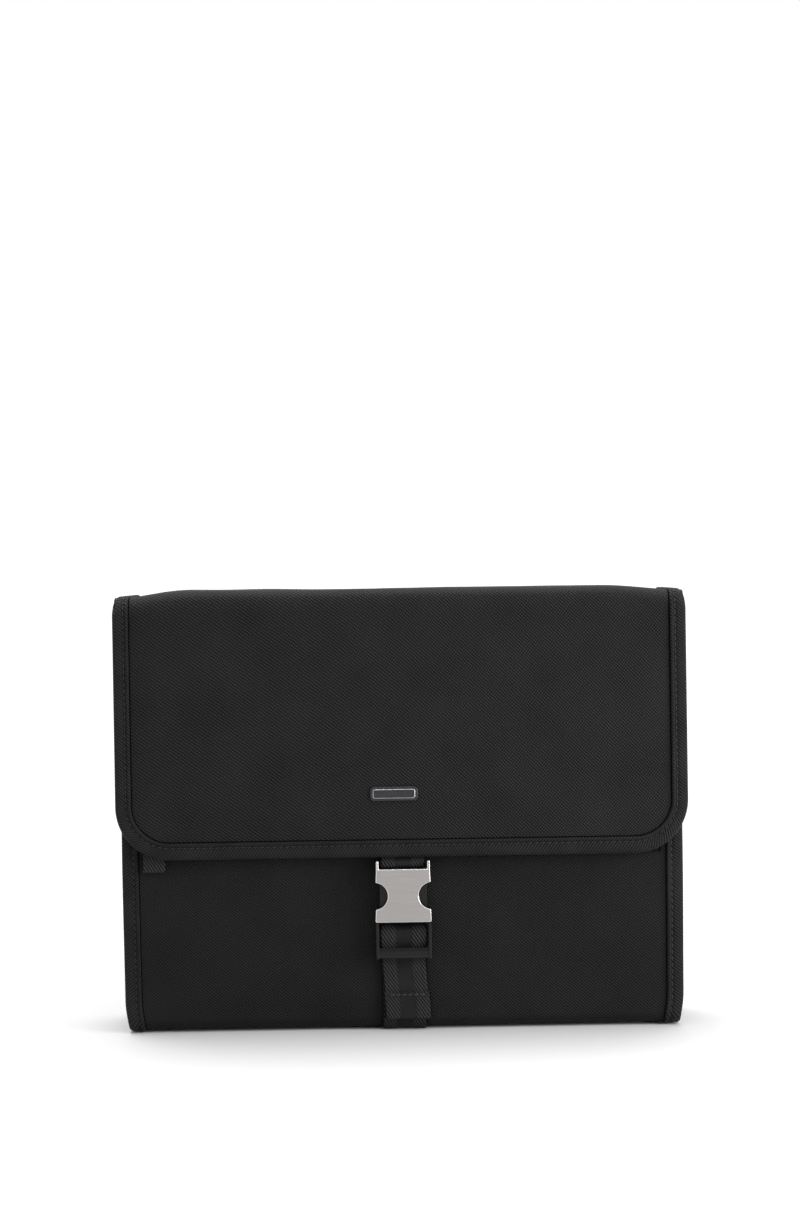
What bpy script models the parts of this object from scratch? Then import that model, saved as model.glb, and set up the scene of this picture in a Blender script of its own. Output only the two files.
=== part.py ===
"""Hanging toiletry bag: flap, fold-out front and base, three zipped pouches, hook, side-release buckle.

Metres, +Z up, front of the bag towards -Y, base on z = 0. The lists below are in millimetres
and P() turns them into metres. Each object is one physical piece.
"""

import math

import bmesh
import bpy
from mathutils import Vector

for obj in list(bpy.data.objects):
    bpy.data.objects.remove(obj, do_unlink=True)

# Driving sizes, mm
DEPTH_SHIFT = 4.8  # moves the layer stack so that the whole is centred on Y
GAP = 0.3  # air between neighbouring layers
TAPE = 0.6  # thickness of the binding tape
FLAP_HALF = 130.0
BODY_HALF = 127.0
FLAP_BOTTOM = 79.6
FOLD_Z = 191.0  # where the flap starts to roll over the top
TOP = 199.0
BACK_TOP = TOP - 5.7  # upper edge of the back
CORNER = 24.5
BIND_SIDE = 6.4
BIND_BOTTOM = 7.8
FRONT_TOP = 92.0
WALL_Z = 6.6
BASE_TOP = 6.2
ROLL_R = 8.0
BACK_ROLL_R = 3.2
STRAP_HALF = 10.25
POUCH_WALL = 0.8
FLAP_AXIS_Y = -34.0

# Layers from front to back, mm
FLAP_PANEL = (-33.0, -31.9)
FLAP_LINING = (-31.6, -30.4)
FLAP_TAPE = (-33.9, -29.5)
FRONT_PANEL = (-25.7, -24.6)
FRONT_ZIP_TAPE = (-24.3, -23.7)
FRONT_LINING = (-23.4, -22.4)
FRONT_TAPE = (-26.6, -21.5)
BACK_LINING = (22.3, 23.1)
BACK_FOAM = (23.4, 24.6)
BACK_PANEL = (24.9, 25.7)
BACK_TAPE = (21.4, 26.6)


def P(x, y, z):
    return Vector((x, y + DEPTH_SHIFT, z)) * 0.001


def paint(obj, rgb, rough, metal):
    mat = bpy.data.materials.new(obj.name)
    mat.use_nodes = True
    shader = mat.node_tree.nodes["Principled BSDF"]
    shader.inputs["Base Color"].default_value = (*rgb, 1)
    shader.inputs["Roughness"].default_value = rough
    shader.inputs["Metallic"].default_value = metal
    obj.data.materials.append(mat)


LOOKS = {
    "twill": ((0.035, 0.035, 0.037), 0.9, 0),
    "tape": ((0.02, 0.02, 0.022), 0.85, 0),
    "web": ((0.028, 0.028, 0.03), 0.85, 0),
    "lining": ((0.16, 0.16, 0.17), 0.8, 0),
    "foam": ((0.3, 0.3, 0.3), 0.95, 0),
    "board": ((0.25, 0.22, 0.18), 0.9, 0),
    "plastic": ((0.015, 0.015, 0.016), 0.35, 0),
    "metal": ((0.62, 0.61, 0.6), 0.35, 1),
    "dark": ((0.12, 0.12, 0.125), 0.25, 1),
}


def solid(name, points, faces, look, pivot=None, smooth=False):
    """One closed body from points in mm. Its origin is put at pivot, which for a moving piece is
    on its joint's axis."""
    origin = P(*pivot) if pivot else Vector()
    mesh = bpy.data.meshes.new(name)
    mesh.from_pydata([P(*p) - origin for p in points], [], faces)
    bm = bmesh.new()
    bm.from_mesh(mesh)
    bmesh.ops.recalc_face_normals(bm, faces=bm.faces)
    bm.to_mesh(mesh)
    bm.free()
    for poly in mesh.polygons:
        poly.use_smooth = smooth
    obj = bpy.data.objects.new(name, mesh)
    obj.location = origin
    bpy.context.scene.collection.objects.link(obj)
    if look:
        paint(obj, *LOOKS[look])
    return obj


def sweep(name, rings, look, **more):
    """A body through rings, each the same number of points, with a face over each end."""
    n = len(rings[0])
    points = [p for ring in rings for p in ring]
    faces = [tuple(range(n)), tuple(len(points) - n + k for k in range(n))]
    for i in range(len(rings) - 1):
        for k in range(n):
            a, b = i * n + k, i * n + (k + 1) % n
            faces.append((a, b, b + n, a + n))
    return solid(name, points, faces, look, **more)


def along_y(name, outline, y, look, **more):
    return sweep(name, [[(x, v, z) for x, z in outline] for v in y], look, **more)


def along_x(name, section, x, look, **more):
    return sweep(name, [[(v, y, z) for y, z in section] for v in x], look, **more)


def along_z(name, section, z, look, **more):
    return sweep(name, [[(x, y, v) for x, y in section] for v in z], look, **more)


def rect(a, b):
    return [(a[0], b[0]), (a[1], b[0]), (a[1], b[1]), (a[0], b[1])]


def block(name, x, y, z, look, **more):
    return along_y(name, rect(x, z), y, look, **more)


def arc(cx, cz, r, start, end, n):
    return [
        (
            cx + r * math.cos(math.radians(start + (end - start) * k / n)),
            cz + r * math.sin(math.radians(start + (end - start) * k / n)),
        )
        for k in range(n + 1)
    ]


def rounded(x, z, r, n=4):
    return (
        arc(x[0] + r, z[0] + r, r, 180, 270, n)
        + arc(x[1] - r, z[0] + r, r, 270, 360, n)
        + arc(x[1] - r, z[1] - r, r, 0, 90, n)
        + arc(x[0] + r, z[1] - r, r, 90, 180, n)
    )


def boolean(obj, other, how="DIFFERENCE"):
    """Cuts other from obj, or joins it on, and keeps it out of the object."""
    other.hide_render = True
    other.display_type = "WIRE"
    mod = obj.modifiers.new(how.title(), "BOOLEAN")
    mod.operation = how
    mod.solver = "EXACT"
    mod.object = other
    return obj


def soften(obj, width, segments=2):
    mod = obj.modifiers.new("Soften", "BEVEL")
    mod.width = width * 0.001
    mod.segments = segments
    mod.limit_method = "ANGLE"
    mod.angle_limit = math.radians(40)
    return obj


def thick_path(path, thickness):
    """Rings across an open path in the YZ plane: pairs of points either side of it."""
    left, right = [], []
    for i, (y, z) in enumerate(path):
        y0, z0 = path[max(i - 1, 0)]
        y1, z1 = path[min(i + 1, len(path) - 1)]
        dy, dz = y1 - y0, z1 - z0
        size = math.hypot(dy, dz)
        ny, nz = -dz / size * thickness / 2, dy / size * thickness / 2
        left.append((y + ny, z + nz))
        right.append((y - ny, z - nz))
    return left, right


def band(name, path, thickness, half, look, **more):
    """A flat strip that follows a path in the YZ plane."""
    left, right = thick_path(path, thickness)
    rings = [
        [(-half, *a), (half, *a), (half, *b), (-half, *b)] for a, b in zip(left, right)
    ]
    return sweep(name, rings, look, **more)


# ---------------------------------------------------------------- flap
def flap_outline(inset, top):
    x = FLAP_HALF - inset
    z = FLAP_BOTTOM + inset
    r = CORNER - inset
    return (
        [(-x, top)]
        + arc(-x + r, z + r, r, 180, 270, 8)
        + arc(x - r, z + r, r, 270, 360, 8)
        + [(x, top)]
    )


def edge_tape(name, stations, y, look, **more):
    """U-shaped binding along stations (x, z, inward x, inward z, leg length)."""
    rings = []
    for x, z, ix, iz, leg in stations:
        profile = [
            (0, y[0]), (leg, y[0]), (leg, y[0] + TAPE), (TAPE, y[0] + TAPE),
            (TAPE, y[1] - TAPE), (leg, y[1] - TAPE), (leg, y[1]), (0, y[1]),
        ]
        rings.append([(x + ix * d, v, z + iz * d) for d, v in profile])
    return sweep(name, rings, look, **more)


flap_pivot = (0, FLAP_AXIS_Y, FOLD_Z)
flap_top = FOLD_Z - 0.2
x, z, r = FLAP_HALF, FLAP_BOTTOM, CORNER
stations = [(-x, flap_top, 1, 0, BIND_SIDE)]
for k in range(9):
    a = math.radians(180 + 90 * k / 8)
    leg = BIND_SIDE + (BIND_BOTTOM - BIND_SIDE) * k / 8
    stations.append((-x + r + r * math.cos(a), z + r + r * math.sin(a), -math.cos(a), -math.sin(a), leg))
for k in range(9):
    a = math.radians(270 + 90 * k / 8)
    leg = BIND_BOTTOM + (BIND_SIDE - BIND_BOTTOM) * k / 8
    stations.append((x - r + r * math.cos(a), z + r + r * math.sin(a), -math.cos(a), -math.sin(a), leg))
stations.append((x, flap_top, -1, 0, BIND_SIDE))
flap_binding = edge_tape("flap_binding", stations, FLAP_TAPE, "tape", pivot=flap_pivot)
flap_panel = along_y("flap_panel", flap_outline(TAPE + GAP, flap_top), FLAP_PANEL, "twill", pivot=flap_pivot)

lining = flap_outline(TAPE + GAP, flap_top)
notch = STRAP_HALF + GAP
cut = len(lining) // 2
lining = (
    lining[:cut]
    + [(-notch, FLAP_BOTTOM + TAPE + GAP), (-notch, 101.0), (notch, 101.0), (notch, FLAP_BOTTOM + TAPE + GAP)]
    + lining[cut:]
)
flap_lining = along_y("flap_lining", lining, FLAP_LINING, "lining", pivot=flap_pivot)

# The strap leaves the flap through a gap in the fold of the binding
strap_gap = block("strap_gap", (-notch, notch), (-31.9, -30.15), (FLAP_BOTTOM - 1, FLAP_BOTTOM + 1.4), None)
boolean(flap_binding, strap_gap)

# Plain bar badge on two posts, each with a washer behind the flap
BADGE_X, BADGE_Z, BADGE_HALF, BADGE_TALL, POST = -3.5, 108.6, 10.75, 3.25, 7.0
badge = along_y(
    "badge",
    rounded((BADGE_X - BADGE_HALF, BADGE_X + BADGE_HALF), (BADGE_Z - BADGE_TALL, BADGE_Z + BADGE_TALL), 1.4),
    (-34.6, -33.3),
    "dark",
    pivot=flap_pivot,
)
for side, name in ((-1, "left"), (1, "right")):
    px = BADGE_X + side * POST
    ring = arc(px, BADGE_Z, 0.8, 0, 360 - 30, 11)
    boolean(badge, along_y("post_" + name, ring, (-34.0, -29.8), None), "UNION")
    hole = along_y("post_hole_" + name, arc(px, BADGE_Z, 1.15, 0, 330, 11), (-34.0, -29.0), None)
    boolean(flap_panel, hole)
    boolean(flap_lining, hole)
    disc = arc(px, BADGE_Z, 2.6, 0, 345, 23)
    washer = along_y("badge_washer_" + name, disc, (-30.1, -29.6), "metal", pivot=flap_pivot)
    boolean(washer, hole)

# Webbing that hangs the buckle from the flap
BAR_Y, BAR_Z, BAR_TURN = -31.55, 76.2, 1.45
path = [(-31.01, 100.0), (-31.01, FLAP_BOTTOM + 0.6), (-31.4, FLAP_BOTTOM - 0.7)]
path += [(-32.6, FLAP_BOTTOM - 1.5), (-33.0, FLAP_BOTTOM - 2.2)]
path += [(BAR_Y + dy, BAR_Z + dz) for dy, dz in arc(0, 0, BAR_TURN, 180, 360, 8)]
path += [(-30.1, FLAP_BOTTOM - 0.8)]
band("flap_strap", path, 1.1, STRAP_HALF, "web", pivot=flap_pivot)

# ---------------------------------------------------------------- buckle socket
PLATE_LOW, PLATE_HIGH, EAR_TOP = 50.4, 74.5, 78.3
HALF_LOW, HALF_HIGH, EAR_IN = 12.7, 12.2, 11.0
NOTCH_X, NOTCH_Z, NOTCH_R = 13.1, 62.4, 6.1


def buckle_outline(grow=0.0):
    """Right half from the bottom centre upwards, then the left half back down."""
    mid = (HALF_LOW + HALF_HIGH) / 2
    open_angle = math.degrees(math.acos((NOTCH_X - mid) / NOTCH_R))
    half = [(HALF_LOW - 0.8, PLATE_LOW), (HALF_LOW, PLATE_LOW + 0.8)]
    half += arc(NOTCH_X, NOTCH_Z, NOTCH_R - grow, 180 + open_angle, 180 - open_angle, 10)
    half += [
        (HALF_HIGH, PLATE_HIGH), (HALF_HIGH, EAR_TOP - 0.4), (HALF_HIGH - 0.4, EAR_TOP),
        (EAR_IN + 0.3, EAR_TOP), (EAR_IN, EAR_TOP - 0.3), (EAR_IN, PLATE_HIGH),
    ]
    return half + [(-px, pz) for px, pz in reversed(half)]


socket = along_y("buckle_socket", buckle_outline(), (-35.3, -29.7), "plastic", pivot=flap_pivot)
boolean(socket, block("socket_room", (-10.9, 10.9), (-33.7, -28.0), (48.6, 70.6), None))
boolean(socket, block("strap_room", (-10.95, 10.95), (-33.95, -28.0), (73.8, 82.6), None))
bar = along_x("socket_bar", arc(BAR_Y, BAR_Z, 0.6, 0, 330, 11), (-11.6, 11.6), None)
boolean(socket, bar, "UNION")
plate = along_y("buckle_faceplate", buckle_outline(), (-36.2, -35.6), "metal", pivot=flap_pivot)
soften(plate, 0.22, 1)

# ---------------------------------------------------------------- top
BACK_CORNER_Y = BACK_PANEL[1] - BACK_ROLL_R


def top_path(offset):
    """Outer surface of the top from the flap to the back, moved out by offset."""
    return (
        arc(FLAP_PANEL[0] + ROLL_R, FOLD_Z + 0.2, ROLL_R + offset, 180, 90, 8)
        + arc(BACK_CORNER_Y, TOP + 0.2 - BACK_ROLL_R, BACK_ROLL_R + offset, 90, 0, 6)
        + [(BACK_PANEL[1] + offset, BACK_TOP + 0.4)]
    )


panel_t = FLAP_PANEL[1] - FLAP_PANEL[0]
section = top_path(0) + top_path(-panel_t)[::-1]
top_panel = along_x("top_panel", section, (-(FLAP_HALF - TAPE - GAP), FLAP_HALF - TAPE - GAP), "twill")
SLIT_HALF, SLIT_Y = 21.0, (17.6, 22.3)
boolean(top_panel, block("hook_slit", (-SLIT_HALF, SLIT_HALF), SLIT_Y, (TOP - 5, TOP + 5), None))
out, into = GAP + TAPE, -panel_t - GAP - TAPE
for side, name in ((-1, "left"), (1, "right")):
    outer, outer_in = top_path(out), top_path(GAP)
    inner, inner_out = top_path(into), top_path(-panel_t - GAP)
    rings = []
    for a, b, c, d in zip(outer, outer_in, inner_out, inner):
        web, leg = side * FLAP_HALF, side * (FLAP_HALF - BIND_SIDE)
        edge = side * (FLAP_HALF - TAPE)
        rings.append(
            [(web, *a), (leg, *a), (leg, *b), (edge, *b), (edge, *c), (leg, *c), (leg, *d), (web, *d)]
        )
    sweep("top_binding_" + name, rings, "tape")
trim = block("hook_slit_trim", (-24.0, 24.0), (15.6, 22.45), (TOP + 0.5, TOP + 1.0), "tape")
trim_hole = block("trim_hole", (-SLIT_HALF, SLIT_HALF), (17.6, 21.95), (TOP - 1, TOP + 2), None)
boolean(trim, trim_hole)

# ---------------------------------------------------------------- back section
edge_x = BODY_HALF - TAPE - GAP
block("back_panel", (-edge_x, edge_x), BACK_PANEL, (WALL_Z, BACK_TOP), "twill")
block("back_foam", (-edge_x + 7, edge_x - 7), BACK_FOAM, (WALL_Z + 2, BACK_TOP - 4), "foam")
block("back_lining", (-edge_x, edge_x), BACK_LINING, (WALL_Z, BACK_TOP), "lining")
for side, name in ((-1, "left"), (1, "right")):
    edge_tape(
        "back_binding_" + name,
        [(side * BODY_HALF, v, -side, 0, BIND_SIDE + 1.2) for v in (WALL_Z, BACK_TOP)],
        BACK_TAPE,
        "tape",
    )

# Sleeve that holds the stowed hook against the back
sleeve = [(-24.5, 17.2), (24.5, 17.2), (24.5, 22.0), (23.7, 22.0)]
sleeve += [(23.7, 18.0), (-23.7, 18.0), (-23.7, 22.0), (-24.5, 22.0)]
along_z("hook_sleeve", sleeve, (95.0, TOP - 1.6), "lining")

# Hook on a webbing tab
HOOK_Y, RING_Z = (18.5, 21.5), 168.0
outline = arc(0, RING_Z, 18.0, 185, -70, 26)
outline += [(5.0, 146.0), (5.0, 139.5), (13.0, 137.0), (14.5, 135.0)]
outline += [(14.5, 124.0), (-14.5, 124.0), (-14.5, 135.0)]
outline += [(-13.0, 137.0), (-4.0, 139.5), (-4.0, 147.0), (-3.2, 154.0)]
outline += arc(0, RING_Z, 11.5, -100, 172, 24)
outline += [(-13.5, 167.0), (-16.0, 165.2)]
hook = along_y("hanging_hook", outline, HOOK_Y, "plastic", pivot=(0, 20.0, 124.0))
boolean(hook, block("hook_slot", (-10.8, 10.8), (10.0, 30.0), (126.6, 132.0), None))
boolean(hook, block("thin_front", (-10.8, 10.8), (10.0, 19.4), (120.0, 127.0), None))
boolean(hook, block("thin_back", (-10.8, 10.8), (20.6, 30.0), (120.0, 127.0), None))
path = [(18.75, 98.0), (18.75, 127.4)]
path += [(20.0 + dy, 127.6 + dz) for dy, dz in arc(0, 0, 1.25, 180, 0, 8)]
path += [(21.25, 127.4), (21.25, 98.0)]
band("hook_strap", path, 0.8, STRAP_HALF, "web", pivot=(0, 20.0, 124.0))


# ---------------------------------------------------------------- pouches
def pouch(name, half, z, y, front, zip_z, zip_half):
    """Gusset ring and a face with a zip slot. The face is on the side towards front (-1 or 1 on Y)."""
    ring = along_y(name + "_gusset", rounded((-half, half), z, 6.0, 4), y, "lining")
    inside = rounded((-half + POUCH_WALL, half - POUCH_WALL), (z[0] + POUCH_WALL, z[1] - POUCH_WALL), 5.2, 4)
    boolean(ring, along_y(name + "_room", inside, (y[0] - 5, y[1] + 5), None))
    near = y[0] if front < 0 else y[1]
    face_y = sorted((near + front * GAP, near + front * (GAP + POUCH_WALL)))
    face = along_y(name + "_face", rounded((-half, half), z, 6.0, 4), face_y, "twill")
    slot_x, slot_y = (-zip_half - 1.0, zip_half + 1.0), (face_y[0] - 2, face_y[1] + 2)
    slot = block(name + "_slot", slot_x, slot_y, (zip_z - 1.7, zip_z + 1.7), None)
    boolean(face, slot)
    # Zip chain: closed coil in the slot, on a tape behind the face
    a = near + front * (GAP + POUCH_WALL)
    b = near - front * 0.5
    t = near
    chain = [
        (b, zip_z - 4.5), (t, zip_z - 4.5), (t, zip_z - 1.3), (a, zip_z - 1.3),
        (a, zip_z + 1.3), (t, zip_z + 1.3), (t, zip_z + 4.5), (b, zip_z + 4.5),
    ]
    along_x(name + "_zip_chain", chain, (-zip_half, zip_half), "tape")
    return a


def runner(name, x0, surface, front, zip_z, pull_len, pull_half, look, pull_look):
    """Slider and pull on a zip, out from surface towards front."""
    s = sorted((surface + front * 0.3, surface + front * 1.7))
    lower = [(-4.5, -1.6), (-2.5, -2.8), (4.5, -2.0)]
    body = [(x0 + a, zip_z + b) for a, b in lower + [(a, -b) for a, b in lower[::-1]]]
    at = (x0, surface, zip_z)
    slider = along_y(name + "_slider", body, s, look, pivot=at)
    post = sorted((surface + front * 1.2, surface + front * 3.1))
    boolean(slider, along_y(name + "_post", arc(x0, zip_z, 0.9, 0, 330, 11), post, None), "UNION")
    p = sorted((surface + front * 2.0, surface + front * 3.2))
    tab = [
        (x0 - pull_half, zip_z - pull_len + 1.6),
        (x0 - pull_half + 1.6, zip_z - pull_len),
        (x0 + pull_half, zip_z - pull_len),
        (x0 + pull_half, zip_z - 2.0),
        (x0 + 2.2, zip_z + 2.2),
        (x0 - 2.2, zip_z + 2.2),
        (x0 - pull_half, zip_z - 2.0),
    ]
    pull = along_y(name + "_pull", tab, p, pull_look, pivot=at)
    boolean(pull, along_y(name + "_pull_hole", arc(x0, zip_z, 1.25, 0, 330, 11), (p[0] - 1, p[1] + 1), None))


TOP_ZIP_Z = TOP - 19.0
surface = pouch("top_pouch", 118.0, (95.6, TOP - 5.0), (-23.7, 16.8), -1, TOP_ZIP_Z, 106.0)
runner("top_zip", -100.0, surface, -1, TOP_ZIP_Z, 17.0, 2.6, "dark", "dark")
surface = pouch("middle_pouch", 115.0, (12.0, 91.0), (3.6, 22.0), -1, 81.0, 106.0)
runner("middle_zip", -100.0, surface, -1, 81.0, 14.0, 2.6, "dark", "dark")
surface = pouch("lower_pouch", 115.0, (12.0, 84.4), (-22.1, -3.6), 1, 60.0, 106.0)
runner("lower_zip", -100.0, surface, 1, 60.0, 14.0, 2.6, "dark", "dark")

# ---------------------------------------------------------------- front section
fx = BODY_HALF - TAPE - GAP
SIDE_LEG, FRONT_R = BIND_SIDE + 1.2, 9.0
front_stations = [(-BODY_HALF, WALL_Z, 1, 0, SIDE_LEG)]
for side, turns in ((-1, (0, 1, 2, 3, 4)), (1, (4, 3, 2, 1, 0))):
    for k in turns:
        a = math.radians(90 * k / 4)
        corner_x = side * (BODY_HALF - FRONT_R + FRONT_R * math.cos(a))
        corner_z = FRONT_TOP - FRONT_R + FRONT_R * math.sin(a)
        leg = BIND_SIDE + 1.2 * (1 - k / 4)
        front_stations.append((corner_x, corner_z, -side * math.cos(a), -math.sin(a), leg))
front_stations.append((BODY_HALF, WALL_Z, -1, 0, SIDE_LEG))
edge_tape("front_binding", front_stations, FRONT_TAPE, "tape")
inset_top = FRONT_TOP - TAPE - GAP
wall = (
    [(-fx, WALL_Z)]
    + arc(-fx + 8.1, inset_top - 8.1, 8.1, 180, 90, 4)
    + arc(fx - 8.1, inset_top - 8.1, 8.1, 90, 0, 4)
    + [(fx, WALL_Z)]
)
front_panel = along_y("front_panel", wall, FRONT_PANEL, "twill")
FRONT_ZIP_Z, FRONT_ZIP_HALF = 81.6, 117.0
slot_x = (-FRONT_ZIP_HALF - 1, FRONT_ZIP_HALF + 1)
front_slot = block("front_slot", slot_x, (-27.0, -24.0), (FRONT_ZIP_Z - 1.7, FRONT_ZIP_Z + 1.7), None)
boolean(front_panel, front_slot)
along_y("front_lining", wall, FRONT_LINING, "lining")
block("front_zip_tape", (-119.0, 119.0), FRONT_ZIP_TAPE, (FRONT_ZIP_Z - 8.0, FRONT_ZIP_Z + 2.6), "tape")
chain_z = (FRONT_ZIP_Z - 1.3, FRONT_ZIP_Z + 1.3)
block("front_zip_chain", (-FRONT_ZIP_HALF, FRONT_ZIP_HALF), (-25.7, -24.6), chain_z, "tape")
runner("front_zip", -113.0, FRONT_PANEL[0], -1, FRONT_ZIP_Z, 10.8, 5.0, "dark", "web")

# ---------------------------------------------------------------- base
base_y = (-25.8, 26.4)
block("base_panel", (-fx, fx), base_y, (1.5, 2.7), "twill")
block("base_board", (-fx + 3, fx - 3), (base_y[0] + 2, base_y[1] - 2), (3.0, 4.4), "board")
block("base_lining", (-fx, fx), base_y, (4.7, 5.3), "lining")
for side, name in ((-1, "left"), (1, "right")):
    leg, edge, web = side * (BODY_HALF - SIDE_LEG), side * (BODY_HALF - TAPE), side * BODY_HALF
    profile = [(web, 0.0), (leg, 0.0), (leg, TAPE), (edge, TAPE), (edge, BASE_TOP - TAPE)]
    profile += [(leg, BASE_TOP - TAPE), (leg, BASE_TOP), (web, BASE_TOP)]
    sweep("base_binding_" + name, [[(px, v, pz) for px, pz in profile] for v in base_y], "tape")
block("strap_base", (-STRAP_HALF, STRAP_HALF), (base_y[0], 12.0), (0.0, 1.2), "web")

# ---------------------------------------------------------------- strap and plug
block("strap_run", (-STRAP_HALF, STRAP_HALF), (-27.3, -26.1), (1.7, 33.5), "web")
PLUG_HALF, PLUG_LOW, PLUG_HIGH = 12.6, 33.8, 50.0
plug_pivot = (0, -31.0, PLUG_HIGH)
plug_frame = rounded((-PLUG_HALF, PLUG_HALF), (PLUG_LOW, PLUG_HIGH), 1.2, 3)
plug = along_y("buckle_plug", plug_frame, (-33.8, -27.6), "plastic", pivot=plug_pivot)
boolean(plug, block("plug_window", (-10.8, 10.8), (-40.0, -20.0), (PLUG_LOW + 4.6, PLUG_HIGH - 0.7), None))
boolean(plug, block("plug_relief", (-10.8, 10.8), (-31.4, -20.0), (PLUG_LOW - 6, PLUG_LOW + 5.3), None))
plug_bar = block("plug_bar", (-11.5, 11.5), (-29.6, -27.6), (PLUG_LOW + 8.6, PLUG_LOW + 11.0), None)
boolean(plug, plug_bar, "UNION")
plug_tongue = block("plug_tongue", (-2.1, 2.1), (-33.1, -31.6), (PLUG_HIGH - 0.5, PLUG_HIGH + 12.6), None)
boolean(plug, plug_tongue, "UNION")
path = [(-28.45, 2.9), (-28.45, 29.6), (-28.9, 31.2), (-30.05, 33.2), (-30.5, 34.8), (-30.5, 45.0)]
path += [(-28.6 + dy, 45.0 + dz) for dy, dz in arc(0, 0, 1.9, 180, 0, 8)[1:]]
path += [(-26.7, 33.9)]
band("strap_loop", path, 1.2, STRAP_HALF, "web", pivot=plug_pivot)
for side, name in ((-1, "left"), (1, "right")):
    arm = [
        (7.0, 50.3), (9.6, 50.3), (9.9, 54.1), (10.6, 57.2), (10.6, 67.0),
        (9.4, 69.2), (7.6, 69.6), (6.6, 68.2), (7.2, 62.6), (6.6, 54.6),
    ]
    arm_outline, root = [(side * px, pz) for px, pz in arm], (side * 8.2, -32.3, 50.8)
    latch_arm = along_y("latch_arm_" + name, arm_outline, (-33.2, -31.4), "plastic", pivot=root)
    soften(latch_arm, 0.25, 1)
soften(badge, 0.45, 2)
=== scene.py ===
"""Looks of the hanging toiletry bag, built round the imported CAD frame. Metres, +Z up, front towards -Y."""

import math

import bmesh
import bpy
import numpy as np
from mathutils import Matrix, Vector, noise


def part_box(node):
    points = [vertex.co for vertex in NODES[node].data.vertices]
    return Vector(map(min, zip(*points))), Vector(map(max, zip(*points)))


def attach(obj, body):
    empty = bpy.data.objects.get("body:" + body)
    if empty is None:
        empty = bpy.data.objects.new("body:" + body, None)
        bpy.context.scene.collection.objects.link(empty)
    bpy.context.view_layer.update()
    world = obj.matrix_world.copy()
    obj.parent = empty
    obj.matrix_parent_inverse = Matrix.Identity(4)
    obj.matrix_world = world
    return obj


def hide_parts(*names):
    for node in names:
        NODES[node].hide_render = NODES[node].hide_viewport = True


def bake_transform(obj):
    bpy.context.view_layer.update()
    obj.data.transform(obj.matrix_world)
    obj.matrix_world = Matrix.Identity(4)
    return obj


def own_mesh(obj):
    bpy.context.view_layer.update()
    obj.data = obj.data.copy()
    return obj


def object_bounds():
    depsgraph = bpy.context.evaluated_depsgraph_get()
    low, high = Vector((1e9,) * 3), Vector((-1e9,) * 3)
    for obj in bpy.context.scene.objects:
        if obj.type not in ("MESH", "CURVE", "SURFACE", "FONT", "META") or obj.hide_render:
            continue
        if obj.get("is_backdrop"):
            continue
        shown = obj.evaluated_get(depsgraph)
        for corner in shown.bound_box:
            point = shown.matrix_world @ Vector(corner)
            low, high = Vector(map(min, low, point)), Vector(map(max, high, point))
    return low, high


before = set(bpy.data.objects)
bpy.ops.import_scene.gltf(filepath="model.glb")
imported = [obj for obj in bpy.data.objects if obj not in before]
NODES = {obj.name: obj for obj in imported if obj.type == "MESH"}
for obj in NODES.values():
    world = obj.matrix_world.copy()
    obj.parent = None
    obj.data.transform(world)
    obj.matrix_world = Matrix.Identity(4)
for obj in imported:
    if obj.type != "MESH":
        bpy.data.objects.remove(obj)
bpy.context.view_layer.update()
MM = 0.001


def box(node):
    low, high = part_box(node)
    return np.array(low), np.array(high)


# ------------------------------------------------------------------ sizes
FLAP_LOW, FLAP_HIGH = box("flap_panel")
BIND_LOW, BIND_HIGH = box("flap_binding")
TOP_HIGH = box("top_panel")[1]
FRONT_LOW, FRONT_HIGH = box("front_panel")
FRONT_BIND_LOW, FRONT_BIND_HIGH = box("front_binding")
BACK_HIGH = box("back_panel")[1]
BACK_BIND_LOW, BACK_BIND_HIGH = box("back_binding_left")
BASE_LOW = box("base_panel")[0]
ROLL_R = 8.0 * MM
FOLD_Z = TOP_HIGH[2] - ROLL_R - 0.2 * MM
BACK_TOP = BACK_HIGH[2] + 0.4 * MM
BACK_ROLL_R = 3.2 * MM
CORNER = 24.5 * MM  # radius of the flap's lower corners, at the outer edge of its binding
EDGE_INSET = 0.9 * MM  # from the outer edge of a binding to the edge of the cloth inside it
CLOTH_THICK = 0.9 * MM
SLIT_HALF = 21.0 * MM  # the hook's slit in the top
SLIT_FRONT, SLIT_BACK = 22.4 * MM, 26.8 * MM
FRONT_ZIP_HALF = 117.5 * MM
POUCH_ZIP_HALF = 106 * MM
BIND_SIDE = 7.3 * MM
BIND_BOTTOM = 7.8 * MM
FLAP_HALF = BIND_HIGH[0]
BODY_HALF = FRONT_BIND_HIGH[0] + 1.1 * MM
WEB_HALF = 10.25 * MM
SHIFT = 4.8  # the strap and buckle numbers, in mm, are from the layer stack's own zero on Y
RISE = box("buckle_faceplate")[0][2] / MM - 47.8  # and from a buckle with its plate 47.8 mm up
TWILL_PITCH = 1.2 * MM
STITCH_PITCH = 2.9 * MM


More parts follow.
